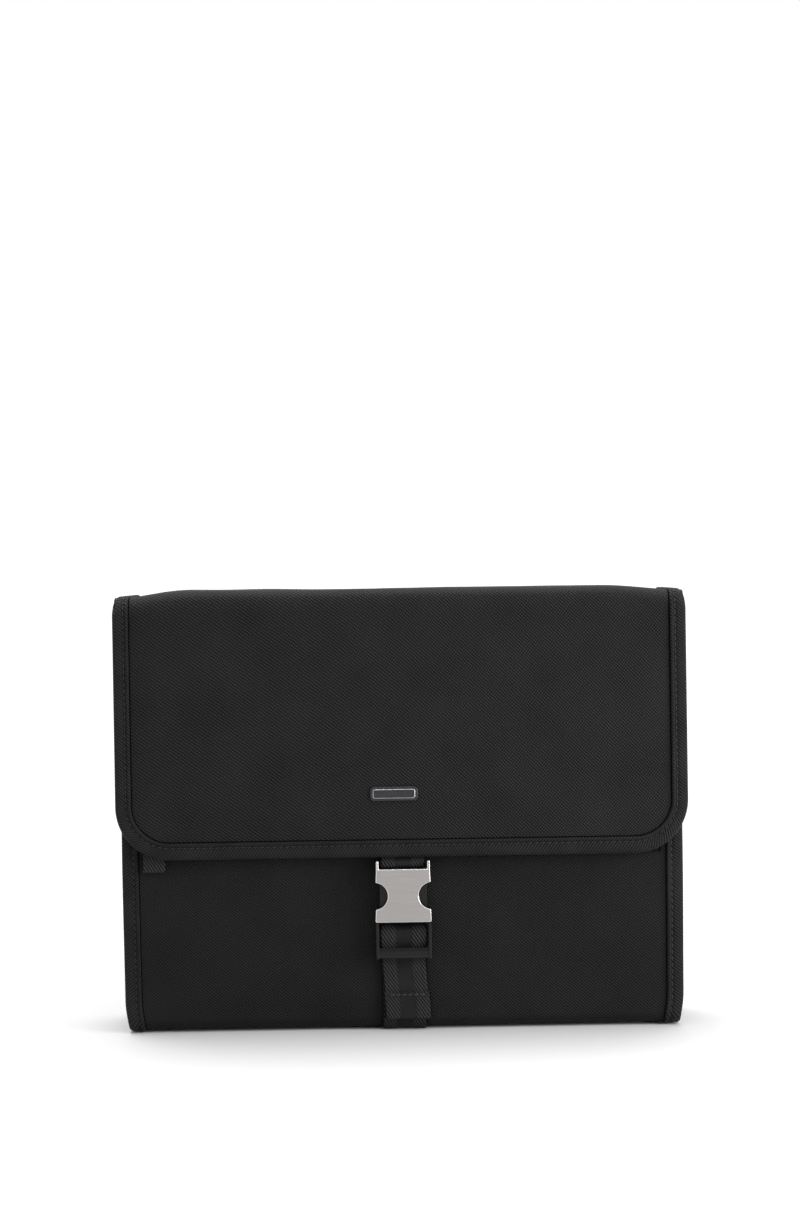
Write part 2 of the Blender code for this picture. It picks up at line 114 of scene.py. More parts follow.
# ------------------------------------------------------------------ materials
class Nodes:
    """A material's node tree, with short ways to add and join nodes."""

    def __init__(self, name, color, rough, metal=0.0, specular=0.5):
        self.mat = bpy.data.materials.new(name)
        self.mat.use_nodes = True
        self.tree = self.mat.node_tree
        self.shader = self.tree.nodes["Principled BSDF"]
        self.set(self.shader, "Base Color", (*color, 1))
        self.set(self.shader, "Roughness", rough)
        self.set(self.shader, "Metallic", metal)
        self.set(self.shader, "Specular IOR Level", specular)

    def set(self, node, socket, value):
        node.inputs[socket].default_value = value

    def link(self, source, target):
        self.tree.links.new(source, target)

    def add(self, kind, **settings):
        node = self.tree.nodes.new(kind)
        for key, value in settings.items():
            setattr(node, key, value)
        return node

    def math(self, how, a, b=None, c=None):
        node = self.add("ShaderNodeMath", operation=how)
        for socket, value in enumerate((a, b, c)):
            if value is None:
                continue
            if isinstance(value, (int, float)):
                node.inputs[socket].default_value = value
            else:
                self.link(value, node.inputs[socket])
        return node.outputs[0]

    def cloth_uv(self):
        """The cloth's own length coordinates, in metres."""
        attribute = self.add("ShaderNodeAttribute", attribute_name="cloth")
        split = self.add("ShaderNodeSeparateXYZ")
        self.link(attribute.outputs["Vector"], split.inputs[0])
        return split.outputs[0], split.outputs[1], attribute.outputs["Vector"]

    def stripes(self, u, v, degrees, pitch, phase=0.0):
        """A sine across lines that lie at this angle, from 0 to 1."""
        a = math.radians(degrees)
        along = self.math("MULTIPLY", u, math.sin(a) * 2 * math.pi / pitch)
        across = self.math("MULTIPLY", v, math.cos(a) * 2 * math.pi / pitch)
        total = self.math("ADD", self.math("ADD", along, across), phase)
        return self.math("MULTIPLY_ADD", self.math("SINE", total), 0.5, 0.5)

    def noise(self, scale, detail=2.0, vector=None):
        node = self.add("ShaderNodeTexNoise")
        self.set(node, "Scale", scale)
        self.set(node, "Detail", detail)
        if vector is None:
            vector = self.add("ShaderNodeTexCoord").outputs["Object"]
        self.link(vector, node.inputs["Vector"])
        return node.outputs["Fac"]

    def ramp(self, value, low, high, start=0.0, end=1.0):
        node = self.add("ShaderNodeValToRGB")
        node.color_ramp.elements[0].position = start
        node.color_ramp.elements[1].position = end
        node.color_ramp.elements[0].color = (*low, 1)
        node.color_ramp.elements[1].color = (*high, 1)
        self.link(value, node.inputs["Fac"])
        return node.outputs["Color"]

    def span(self, value, low, high):
        node = self.add("ShaderNodeMapRange")
        self.set(node, "To Min", low)
        self.set(node, "To Max", high)
        self.link(value, node.inputs["Value"])
        return node.outputs["Result"]

    def bump(self, height, distance, strength=1.0, under=None):
        node = self.add("ShaderNodeBump")
        self.set(node, "Strength", strength)
        self.set(node, "Distance", distance)
        self.link(height, node.inputs["Height"])
        if under is not None:
            self.link(under, node.inputs["Normal"])
        return node.outputs["Normal"]

    def paint(self, value, low, high, start=0.0, end=1.0):
        self.link(self.ramp(value, low, high, start, end), self.shader.inputs["Base Color"])

    def gloss(self, value, low, high):
        self.link(self.span(value, low, high), self.shader.inputs["Roughness"])

    def relief(self, normal, sheen=0.0):
        self.link(normal, self.shader.inputs["Normal"])
        self.set(self.shader, "Sheen Weight", sheen)


def grey(value, blue=0.0):
    return (value, value, value * (1 + blue))


def scaled(color, factor):
    return tuple(min(1.0, c * factor) for c in color)


def twill(name, tone=0.0042, pitch=TWILL_PITCH):
    """Black twill: slanting ribs that run down to the right, each broken into small floats."""
    m = Nodes(name, grey(tone), 0.46, specular=0.08)
    u, v, uv = m.cloth_uv()
    drift = m.math("MULTIPLY", m.noise(300, 2, uv), 3.2)
    rib = m.stripes(u, v, 40, pitch, drift)
    floats = m.stripes(u, v, -55, pitch * 0.85, drift)
    rib, floats = m.math("MULTIPLY_ADD", rib, 0.8, 0.2), m.math("MULTIPLY_ADD", floats, 0.75, 0.25)
    weave = m.math("MULTIPLY", rib, floats)
    mottle = m.noise(38, 3)
    # Fine specks painted lighter as painted glints
    glint_specks = m.noise(2100, 1, uv)
    shade = m.math("MULTIPLY_ADD", mottle, 0.22, m.math("MULTIPLY", weave, 0.62))
    shade = m.math("MULTIPLY_ADD", glint_specks, 0.32, shade)
    # The ribs are painted light as painted highlights and the valleys near black as painted shade; the
    # mottle is the cloth's own uneven tone
    m.paint(shade, grey(tone * 0.04), (tone * 6.0, tone * 5.7, tone * 5.85), 0.24, 0.95)
    m.gloss(weave, 0.62, 0.44)
    m.relief(m.bump(weave, 0.0003, 1.0, m.bump(m.noise(90, 2), 0.0006, 0.5)), 0.015)
    m.set(m.shader, "Sheen Roughness", 0.5)
    return m.mat


def woven(name, color, pitch, rough=0.7, specular=0.15, patchy=0.5):
    """Plain weave: threads over and under each other."""
    m = Nodes(name, color, rough, specular=specular)
    u, v, uv = m.cloth_uv()
    warp = m.stripes(u, v, 90, pitch)
    weft = m.stripes(u, v, 0, pitch)
    over = m.math("MULTIPLY", warp, m.math("SUBTRACT", 1.0, weft))
    under = m.math("MULTIPLY", weft, m.math("SUBTRACT", 1.0, warp))
    weave = m.math("ADD", over, under)
    shade = m.math("MULTIPLY_ADD", m.noise(60, 3), patchy, m.math("MULTIPLY", weave, 1 - patchy))
    m.paint(shade, scaled(color, 0.6), scaled(color, 1.5), 0.1, 0.9)
    m.relief(m.bump(weave, 0.0001, 0.8, m.bump(m.noise(140, 2), 0.0004, 0.4)), 0.03)
    return m.mat


def ribbed_tape(name, tone=0.0058, pitch=1.2 * MM):
    """Binding tape: a fine slanting rib."""
    m = Nodes(name, grey(tone), 0.55, specular=0.08)
    u, v, uv = m.cloth_uv()
    rib = m.stripes(u, v, 35, pitch)
    cross = m.stripes(u, v, -60, pitch * 0.6)
    weave = m.math("MULTIPLY_ADD", cross, 0.3, m.math("MULTIPLY", rib, 0.7))
    shade = m.math("MULTIPLY_ADD", m.noise(70, 3), 0.4, m.math("MULTIPLY", weave, 0.6))
    m.paint(shade, grey(tone * 0.1), grey(tone * 3.8), 0.2, 0.92)
    m.relief(m.bump(weave, 0.00032, 1.0, m.bump(m.noise(160, 2), 0.0003, 0.4)), 0.02)
    return m.mat


def webbing_cloth(name, tone=0.0058):
    """Webbing: painted shade between the ribs and painted highlights on them, from the rib height in the
    cloth's third coordinate, with a yarn grain.
    """
    m = Nodes(name, grey(tone), 0.4, specular=0.09)
    u, v, uv = m.cloth_uv()
    split = m.add("ShaderNodeSeparateXYZ")
    m.link(uv, split.inputs[0])
    yarn = m.stripes(u, v, 62, 0.36 * MM)
    shade = m.math("MULTIPLY_ADD", split.outputs[2], 0.72, m.math("MULTIPLY", yarn, 0.16))
    shade = m.math("MULTIPLY_ADD", m.noise(160, 3), 0.2, shade)
    # Rib valleys painted near black as painted shade, rib tops painted light as painted highlights
    m.paint(shade, grey(tone * 0.03), grey(tone * 5.6, 0.06), 0.24, 0.96)
    m.relief(m.bump(yarn, 0.00008, 0.7), 0.02)
    return m.mat


def moulded(name, tone=0.004, rough=0.3, specular=0.22):
    """Moulded black plastic with a fine grain and small changes in gloss."""
    m = Nodes(name, grey(tone), rough, specular=specular)
    wear = m.noise(90, 3)
    m.gloss(wear, rough - 0.07, rough + 0.1)
    m.paint(wear, grey(tone * 0.8), grey(tone * 1.3))
    m.relief(m.bump(m.noise(1800, 2), 0.00003, 0.5))
    return m.mat


def brushed(name, color, rough=0.36, streak=(14, 14, 900)):
    """Brushed metal: long fine scratches along one way, with a soft change in gloss."""
    m = Nodes(name, color, rough, metal=1.0)
    place = m.add("ShaderNodeTexCoord").outputs["Object"]
    stretch = m.add("ShaderNodeMapping")
    stretch.inputs["Scale"].default_value = streak
    m.link(place, stretch.inputs["Vector"])
    lines = m.noise(6, 4, stretch.outputs["Vector"])
    m.gloss(lines, rough - 0.06, rough + 0.08)
    m.paint(lines, scaled(color, 0.9), scaled(color, 1.08), 0.3, 0.7)
    m.relief(m.bump(lines, 0.00001, 0.6))
    return m.mat


MAT = {
    "flap": twill("black_twill_flap"),
    "front": twill("black_twill_front", 0.0035, 1.08 * MM),
    "back": twill("black_twill_back", 0.0072),
    "tape": ribbed_tape("binding_tape"),
    "thread": woven("thread", grey(0.0135), 0.5 * MM, rough=0.45, specular=0.3),
    "web": webbing_cloth("webbing"),
    "lining": woven("lining_weave", (0.042, 0.042, 0.045), 0.6 * MM, 0.6, 0.25, 0.3),
    "pouch": woven("pouch_weave", (0.024, 0.024, 0.027), 0.9 * MM, 0.46, 0.42, 0.2),
    "zip_tape": woven("zip_tape_weave", grey(0.012), 0.6 * MM),
    "teeth": moulded("zip_teeth", 0.012, 0.35),
    "plastic": moulded("buckle_plastic"),
    "hook": moulded("hook_plastic", 0.012, 0.26, 0.5),
    "enamel": moulded("zip_enamel", 0.014, 0.28, 0.6),
    "plate": brushed("brushed_plate", (0.335, 0.318, 0.312), 0.34),
    # Near-black material for the painted shadow lines beside the binding beads
    "painted_shade": moulded("painted_shadow_line", 0.0012, 0.7, 0.03),
    "rim": brushed("polished_rim", (0.72, 0.70, 0.69), 0.2),
    "badge": brushed("dark_chrome", (0.045, 0.045, 0.048), 0.2, (20, 20, 400)),
    "steel": brushed("plain_steel", (0.5, 0.5, 0.5), 0.3),
}


# ------------------------------------------------------------------ mesh helpers
X_AXIS, Y_AXIS, Z_AXIS = np.eye(3)


def smooth(t):
    t = np.clip(t, 0, 1)
    return t * t * (3 - 2 * t)


def ease(distance, start, width):
    """0 up to start, then a smooth rise to 1 over width. Start and width are in mm."""
    return smooth((distance - start * MM) / (width * MM))


def wrinkle(points, scale, seed=0.0):
    """Soft noise from -1 to 1 at each point, with scale as the size of a fold in metres."""
    flat = points.reshape(-1, 3) / scale + seed
    return np.array([noise.noise(Vector(p)) for p in flat]).reshape(points.shape[:-1])


def unit(v):
    return v / np.maximum(np.linalg.norm(v, axis=-1, keepdims=True), 1e-12)


def run_along(path):
    """Length along a path from its start to each of its points."""
    return np.concatenate([[0], np.cumsum(np.linalg.norm(np.diff(path, axis=0), axis=1))])


def like(direction, path):
    """One direction repeated for every point of a path."""
    return np.tile(direction, (len(path), 1))


def row_at(xs, y, z):
    """Points along X at one y and z."""
    return np.stack([xs, 0 * xs + y, 0 * xs + z], -1)


def oval(half_x, half_y, count):
    return [(half_x * math.cos(a), half_y * math.sin(a)) for a in np.arange(count) * math.pi / (count / 2)]


def link_object(name, data):
    obj = bpy.data.objects.new(name, data)
    bpy.context.scene.collection.objects.link(obj)
    return obj


def make(name, points, faces, cloth, mat):
    """A smooth-shaded mesh. cloth holds each point's place on the flat cloth, for its weave."""
    mesh = bpy.data.meshes.new(name)
    mesh.from_pydata([tuple(p) for p in points], [], [tuple(f) for f in faces])
    mesh.polygons.foreach_set("use_smooth", [True] * len(mesh.polygons))
    if cloth is not None:
        attribute = mesh.attributes.new("cloth", "FLOAT_VECTOR", "POINT")
        attribute.data.foreach_set("vector", np.asarray(cloth, np.float32).reshape(-1))
    mesh.update()
    mesh.materials.append(mat)
    return link_object(name, mesh)


def face_out(obj):
    bm = bmesh.new()
    bm.from_mesh(obj.data)
    bmesh.ops.recalc_face_normals(bm, faces=bm.faces)
    bm.to_mesh(obj.data)
    bm.free()


def make_closed(name, points, faces, cloth, mat):
    obj = make(name, points, faces, cloth, mat)
    face_out(obj)
    return obj


def lengths(grid, axis):
    """Length along each row or column of a grid of points."""
    step = np.linalg.norm(np.diff(grid, axis=axis), axis=-1)
    pad = [(0, 0), (0, 0)]
    pad[axis] = (1, 0)
    return np.pad(np.cumsum(step, axis=axis), pad)


def sheet(name, grid, thick, mat, flip=False, keep=None):
    """A cloth sheet: grid (rows, columns, 3) is its outer side, and the other side lies thick behind it."""
    rows, cols = grid.shape[:2]
    n = np.cross(np.gradient(grid, axis=1), np.gradient(grid, axis=0))
    inner = grid - unit(n) * (-1 if flip else 1) * thick
    u = lengths(grid, 1)
    u = u - u[:, cols // 2][:, None]
    cloth = np.stack([u, lengths(grid, 0), np.zeros((rows, cols))], -1)
    points = np.concatenate([grid.reshape(-1, 3), inner.reshape(-1, 3)])
    half = rows * cols
    faces, edges = [], {}
    for i in range(rows - 1):
        for k in range(cols - 1):
            if keep is not None and not keep[i, k]:
                continue
            a, b = i * cols + k, i * cols + k + 1
            quad = (a, b, b + cols, a + cols)
            if flip:
                quad = quad[::-1]
            faces += [quad, tuple(half + q for q in reversed(quad))]
            for p, q in zip(quad, quad[1:] + quad[:1]):
                edges[(p, q)] = True
    faces += [(q, p, half + p, half + q) for p, q in edges if (q, p) not in edges]
    return make(name, points, faces, np.concatenate([cloth.reshape(-1, 3)] * 2), mat)


def swept(name, path, inward, outward, section, mat, closed=False, cloth=None):
    """A body along path. section is (points, 2) or (stations, points, 2): how far inward and outward."""
    path, inward, outward = (np.asarray(a, float) for a in (path, inward, outward))
    n = len(path)
    section = np.asarray(section, float)
    if section.ndim == 2:
        section = np.broadcast_to(section, (n, *section.shape))
    m = section.shape[1]
    points = path[:, None] + inward[:, None] * section[..., :1] + outward[:, None] * section[..., 1:]
    if cloth is None:
        steps = np.linalg.norm(np.diff(section, axis=1), axis=2)
        girth = np.concatenate([np.zeros((n, 1)), np.cumsum(steps, axis=1)], 1)
        cloth = np.stack([girth, np.broadcast_to(run_along(path)[:, None], (n, m)), np.zeros((n, m))], -1)
    faces = []
    for i in range(n if closed else n - 1):
        j = (i + 1) % n
        for k in range(m):
            q = (k + 1) % m
            faces.append((i * m + k, i * m + q, j * m + q, j * m + k))
    if not closed:
        faces.append(tuple(range(m))[::-1])
        faces.append(tuple((n - 1) * m + k for k in range(m)))
    return make_closed(name, points.reshape(-1, 3), faces, cloth.reshape(-1, 3), mat)


def resample(path, outward, step, ends=0.0):
    """Points every step along path, leaving out both ends, with the outward direction at each."""
    run = run_along(path)
    count = max(2, int(round((run[-1] - ends - ends) / step)) + 1)
    at = np.linspace(ends, run[-1] - ends, count)

    def read(a):
        return np.stack([np.interp(at, run, np.asarray(a)[:, c]) for c in range(3)], -1)

    return read(path), unit(read(outward))


def capsule():
    """A unit stitch along X: 5 rings of 8 and two ends."""
    rings = [(-0.92, 0.5), (-0.6, 0.88), (0.0, 1.0), (0.6, 0.88), (0.92, 0.5)]
    points = [(x, r * math.cos(a), r * math.sin(a)) for x, r in rings for a in np.arange(8) * math.pi / 4]
    points += [(-1.0, 0, 0), (1.0, 0, 0)]
    faces = []
    for i in range(4):
        for k in range(8):
            a, b = i * 8 + k, i * 8 + (k + 1) % 8
            faces.append((a, b, b + 8, a + 8))
    for k in range(8):
        faces.append((k, 40, (k + 1) % 8))
        faces.append((32 + k, 32 + (k + 1) % 8, 41))
    return np.array(points), faces


CAPSULE, CAPSULE_FACES = capsule()
STITCH_SIZE = (1.05 * MM, 0.26 * MM, 0.2 * MM)


def stitches(
    name, path, outward, mat=MAT["thread"], pitch=STITCH_PITCH, size=STITCH_SIZE, slant=8.0, ends=0.0
):
    """A row of thread stitches lying on a surface. size is half a stitch's length, width and height."""
    at, out = resample(path, outward, pitch, ends)
    tangent = unit(np.gradient(at, axis=0))
    side = unit(np.cross(out, tangent))
    a = math.radians(slant)
    length, width, height = (CAPSULE[:, k:k + 1] for k in range(3))
    points, faces = [], []
    for i in range(len(at)):
        t = tangent[i] * math.cos(a) + side[i] * math.sin(a)
        s = np.cross(out[i], t)
        points.append(at[i] + length * t * size[0] + width * s * size[1] + height * out[i] * size[2])
        base = i * len(CAPSULE)
        faces += [tuple(base + k for k in f) for f in CAPSULE_FACES]
    cloth = np.concatenate([length * size[0], width * size[1], height * 0], 1)
    return make_closed(name, np.concatenate(points), faces, np.tile(cloth, (len(at), 1)), mat)


def stitch_row(name, half, count, y, z, out, **look):
    """A straight row of stitches along X, from -half to half in mm."""
    row = row_at(np.linspace(-half, half, count) * MM, y, z)
    return stitches(name, row, like(out, row), **look)


def arc(center, radius, start, end, count, axes):
    """Points of an arc in the plane of two axes, with the outward direction at each."""
    angles = np.radians(np.linspace(start, end, count))
    a, b = axes
    out = np.cos(angles)[:, None] * a + np.sin(angles)[:, None] * b
    return np.asarray(center, float) + out * radius, out


def corner_points(half, low, high, r, count):
    """Points round a rectangle's four rounded corners, from the lower right one upwards."""
    right, left, down, up = half - r, -half + r, low + r, high - r
    corners = ((right, down, 270), (right, up, 0), (left, up, 90), (left, down, 180))
    return [
        (cx + r * math.cos(a), cy + r * math.sin(a))
        for cx, cy, start in corners
        for a in np.radians(np.linspace(start, start + 90, count))
    ]


def rounded_ring(half_x, z0, z1, radius, count):
    """Points (x, z) evenly round a rectangle with rounded corners, from the bottom centre towards +X."""
    points = np.array([(0.0, z0), *corner_points(half_x, z0, z1, radius, 9), (0.0, z0)])
    run = run_along(points)
    at = np.arange(count) / count * run[-1]
    return np.stack([np.interp(at, run, points[:, 0]), np.interp(at, run, points[:, 1])], -1)


def place(obj, on, slot=None, replaces=()):
    """Hides the parts it replaces and puts a piece on a body; given a fold (body, body, start, end), the
    piece stays where it is. slot is not used.
    """
    if replaces:
        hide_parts(*replaces)
    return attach(obj, on) if isinstance(on, str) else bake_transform(obj)


# ------------------------------------------------------------------ camera, light, floor
def look_at(obj, target, roll=0.0):
    turn = (Vector(target) - obj.location).to_track_quat("-Z", "Y").to_matrix().to_4x4()
    obj.matrix_world = Matrix.Translation(obj.location) @ turn @ Matrix.Rotation(math.radians(roll), 4, "Z")


CAMERA_AIM = (0.0007, 0.0, 0.1931)
CAMERA_DISTANCE, CAMERA_HIGH, CAMERA_TURN, CAMERA_ROLL = 1.171, 0.8, -0.3, -0.88
cam_data = bpy.data.cameras.new("camera")
cam_data.sensor_fit = "VERTICAL"
cam_data.sensor_height = 36
cam_data.lens = 75
camera = link_object("camera", cam_data)
high, turn = math.radians(CAMERA_HIGH), math.radians(CAMERA_TURN)
camera.location = Vector(CAMERA_AIM) + CAMERA_DISTANCE * Vector(
    (math.sin(turn) * math.cos(high), -math.cos(turn) * math.cos(high), math.sin(high))
)
look_at(camera, CAMERA_AIM, CAMERA_ROLL)
bpy.context.scene.camera = camera
bpy.context.scene.view_settings.view_transform = "Standard"

world = bpy.data.worlds.new("studio")
world.use_nodes = True
world.node_tree.nodes["Background"].inputs["Color"].default_value = (1, 1, 1, 1)
world.node_tree.nodes["Background"].inputs["Strength"].default_value = 1.0
bpy.context.scene.world = world


def soft_light(name, kind, at, aim, energy):
    data = bpy.data.lights.new(name, kind)
    data.energy = energy
    obj = link_object(name, data)
    obj.location = at
    look_at(obj, aim)
    return data


# Two very wide suns, even over the whole floor, and a box that lights the bag's right side
soft_light("key", "SUN", (0.75, -0.9, 1.5), (0, 0, 0), 0.7).angle = math.radians(50)
soft_light("top", "SUN", (-0.1, 0.3, 1.0), (0, 0, 0), 3.2).angle = math.radians(44)
side_box = soft_light("side_box", "AREA", (0.62, -0.36, 0.2), (0.03, 0, 0.08), 4.6)
side_box.shape = "RECTANGLE"
side_box.size = side_box.size_y = 0.4
FLOOR_HALF = 40.0
floor_grid = [(x, y, 0.0) for y in (-FLOOR_HALF, FLOOR_HALF) for x in (-FLOOR_HALF, FLOOR_HALF)]
floor_look = Nodes("pale_floor", grey(0.54), 0.9, specular=0.0)
floor_look.paint(floor_look.noise(3, 2), grey(0.53), grey(0.55))
make("floor", floor_grid, [(0, 1, 3, 2)], None, floor_look.mat)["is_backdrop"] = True


# ------------------------------------------------------------------ flap and top
GROOVE = 2.2 * MM  # from a binding's inner edge to its stitched groove
DROP_SPREAD = 0.5  # share of a tape's width over which its outer edge drops, on top of the bag
# A tape's inner edge in section: mm from its width, mm from its face, and share of the bead's height
BEAD = (
    (0.05, -0.75, 0), (0, -0.15, 0), (-0.22, 0, 0.6), (-0.85, 0, 1), (-1.35, 0, 0.5), (-1.65, -0.3, 0),
    (-2.2, -0.5, 0), (-2.75, -0.36, 0), (-3.3, -0.04, 0),
)
ROUND_EDGE = ((2.2, -0.03), (1.5, -0.08), (0.8, -0.34), (0.3, -0.85))  # mm from its outer edge and its face
# Each fold is the bodies on its two sides, and where the cloth's turn between them starts and ends
FOLD_START, FOLD_END = (0, FLAP_LOW[1], FOLD_Z + 2.4 * MM), (0, FLAP_LOW[1], FOLD_Z - 2.4 * MM)
FLAP_FOLD = ("back_section", "flap", FOLD_START, FOLD_END)
FRONT_FOLD = ("base", "front_section", (0, -14 * MM, 2 * MM), (0, -20.5 * MM, 9 * MM))
BACK_FOLD = ("back_section", "base", (0, 30 * MM, 10 * MM), (0, 23.5 * MM, 2 * MM))


def shadow_line_beside(name, path, inward, outward, width, face, radius=0.42 * MM):
    """A thin near-black tube in the angle between a binding's bead and the cloth: painted shade, a dark line
    put where the bead's shadow falls.
    """
    along = path + inward * (np.asarray(width) + 0.3 * MM)[..., None] + outward * (face - 1.15 * MM)
    return swept(name, along, inward, outward, oval(radius, radius, 8), MAT["painted_shade"])


def binding_section(width, front, back, bead=1.0, drop=0.0):
    """Folded tape seen in section: a round edge, a stitched groove and a raised bead at the inner edge."""
    def leg(face):
        high = 0.42 * MM * bead
        inner = [(width + a * MM, face + b * MM + high * share) for a, b, share in BEAD]
        return inner + [(width * 0.42, face)] + [(a * MM, face + b * MM) for a, b in ROUND_EDGE]

    loop = leg(front) + [(0.0, (front - back) / 2)] + [(a, -b) for a, b in leg(back)][::-1]
    near = width * DROP_SPREAD
    return [(a, b - drop * (1 - a / near) ** 2 if a < near else b) for a, b in loop]


def top_profile(offset, bottom):
    """Points and normals from bottom up the flap, over the roll, across the top and down the back roll."""
    fine = FOLD_Z - 6 * MM
    zs = np.concatenate([np.arange(bottom, fine, 1.2 * MM), np.arange(fine, FOLD_Z + 0.2 * MM, 0.4 * MM)])
    roll = (0, FLAP_LOW[1] + ROLL_R, FOLD_Z + 0.2 * MM)
    back_roll = (0, TOP_HIGH[1] - BACK_ROLL_R, TOP_HIGH[2] - BACK_ROLL_R)
    ys = np.arange(roll[1] + 0.8 * MM, back_roll[1], 1.0 * MM)
    parts = [
        (np.stack([0 * zs, 0 * zs + (FLAP_LOW[1] - offset), zs], -1), like(-Y_AXIS, zs)),
        arc(roll, ROLL_R + offset, 180, 90, 22, (Y_AXIS, Z_AXIS)),
        (np.stack([0 * ys, ys, 0 * ys + TOP_HIGH[2] + offset], -1), like(Z_AXIS, ys)),
        arc(back_roll, BACK_ROLL_R + offset, 90, 0, 9, (Y_AXIS, Z_AXIS)),
        (np.array([[0, TOP_HIGH[1] + offset, BACK_TOP]]), np.array([Y_AXIS])),
    ]
    return np.concatenate([p for p, _ in parts]), np.concatenate([n for _, n in parts])


def flap_half_width(z):
    """Half the cloth's width at this height, round at the flap's lower corners."""
    r = CORNER - EDGE_INSET
    dip = np.clip(r - (z - FLAP_LOW[2]), 0, r)
    return FLAP_HIGH[0] - r + np.sqrt(np.maximum(r * r - dip * dip, 0))


def middles(values):
    """The middle of each cell of a grid of values, on its diagonal."""
    return (values[1:, 1:] + values[:-1, :-1]) / 2


def flap_cloth():
    profile, normal = top_profile(0.0, FLAP_LOW[2])
    slit = SLIT_HALF / FLAP_HIGH[0]
    t = np.unique(np.concatenate([np.linspace(-1, 1, 97), [-slit, slit]]))
    on_flap = profile[:, 1] < FLAP_LOW[1] + 0.1 * MM
    half = np.where(on_flap, flap_half_width(profile[:, 2]), FLAP_HIGH[0])
    grid = np.repeat(profile[:, None], len(t), axis=1)
    grid[..., 0] = half[:, None] * t[None]
    x, y, run = np.abs(grid[..., 0]), grid[..., 1], lengths(grid, 0)[:, len(t) // 2]
    back = ease(run[-1] - run[:, None], 0, 12)
    near_slit = 1 - smooth(1 - x / (40 * MM)) * ease(y, 2, 10)
    soft = ease(FLAP_HIGH[0] - x, 4.5, 16) * ease(run[:, None], 6.5, 14) * back * near_slit
    puff = 0.55 * MM * soft
    puff += 0.75 * MM * wrinkle(grid * (1, 1, 1.4), 62 * MM, 3.1) * soft
    puff += 0.22 * MM * wrinkle(grid, 21 * MM, 9.4) * soft
    lip = -0.25 * MM * (1 - ease(FLAP_HIGH[0] - x, 5.3, 3))
    # The padding lifts the middle of the top's front edge
    crown = ease(FLAP_HALF - x, 5, 30) * ease(grid[..., 2] - FOLD_Z, 0, 6)
    crown = crown * (1 - 0.75 * ease(y, 2, 16)) * back
    grid = grid + normal[:, None] * (puff + lip)[..., None]
    grid[..., 2] += 2.0 * MM * crown
    x_mid, y_mid = middles(grid[..., 0]), middles(grid[..., 1])
    hole = (np.abs(x_mid) < SLIT_HALF) & (y_mid > SLIT_FRONT) & (y_mid < SLIT_BACK)
    hole &= grid[1:, 1:, 2] > BACK_TOP
    piece = sheet("flap_and_top_cloth", grid, CLOTH_THICK, MAT["flap"], keep=~hole)
    place(piece, FLAP_FOLD, "flap_twill", ["flap_panel", "top_panel"])


def flap_edge_path(mid_offset):
    """The bound edge from the back of the top on the left, round the flap, to the back on the right."""
    up, up_out = top_profile(mid_offset, BIND_LOW[2] + CORNER)
    left, right = up[::-1] + (-FLAP_HALF, 0, 0), up + (FLAP_HALF, 0, 0)
    y, z, x = up[0, 1], BIND_LOW[2], FLAP_HALF - CORNER
    c1, o1 = arc((-FLAP_HALF + CORNER, y, z + CORNER), CORNER, 180, 270, 26, (X_AXIS, Z_AXIS))
    flat = row_at(np.linspace(-FLAP_HALF + CORNER, x, 120)[1:-1], y, z)
    c2, o2 = arc((x, y, z + CORNER), CORNER, 270, 360, 26, (X_AXIS, Z_AXIS))
    path = np.concatenate([left[:-1], c1, flat, c2, right[1:]])
    inward = [like(X_AXIS, left[:-1]), -o1, like(Z_AXIS, flat), -o2, like(-X_AXIS, right[1:])]
    outward = [up_out[::-1][:-1], like(-Y_AXIS, c1), like(-Y_AXIS, flat), like(-Y_AXIS, c2), up_out[1:]]
    return path, np.concatenate(inward), np.concatenate(outward)


def flap_binding():
    mid = (BIND_LOW[1] + BIND_HIGH[1]) / 2
    front = mid - BIND_LOW[1]
    path, inward, outward = flap_edge_path(FLAP_LOW[1] - mid)
    above_fold = path[:, 2] - FOLD_Z
    at_bottom = smooth((BIND_LOW[2] + CORNER - path[:, 2]) / CORNER)
    on_top = ease(above_fold, -3, 8)
    width = BIND_SIDE + (BIND_BOTTOM - BIND_SIDE) * at_bottom
    behind = front - 1.5 * MM * on_top
    drop = 2.9 * MM * ease(above_fold, -1, 6)
    stations = zip(width, front - 0.35 * MM * on_top, behind, 1 - 0.6 * on_top, drop)
    section = np.array([binding_section(*station) for station in stations])
    waves = 0.12 * MM * wrinkle(path, 9 * MM, 4.0)[:, None]
    section[..., 1] += waves * (np.abs(section[..., 1]) > 0.5 * MM)
    piece = swept("flap_binding_tape", path, inward, outward, section, MAT["tape"])
    place(piece, FLAP_FOLD, "binding_tape", ["flap_binding", "top_binding_left", "top_binding_right"])
    # Painted shadow line along the bead's inner edge
    painted_shade = shadow_line_beside("flap_bead_shadow_line", path, inward, outward, width, front)
    place(painted_shade, FLAP_FOLD, "binding_tape")
    for where, sign, depth in (("outer", 1, front), ("inner", -1, -behind)):
        row = path + inward * (width - GROOVE)[:, None]
        row = row + outward * (depth - 0.3 * MM * sign - drop * 0.03)[:, None]
        thread = stitches(f"flap_stitches_{where}", row, outward * sign, ends=2 * MM)
        place(thread, FLAP_FOLD, "binding_tape")


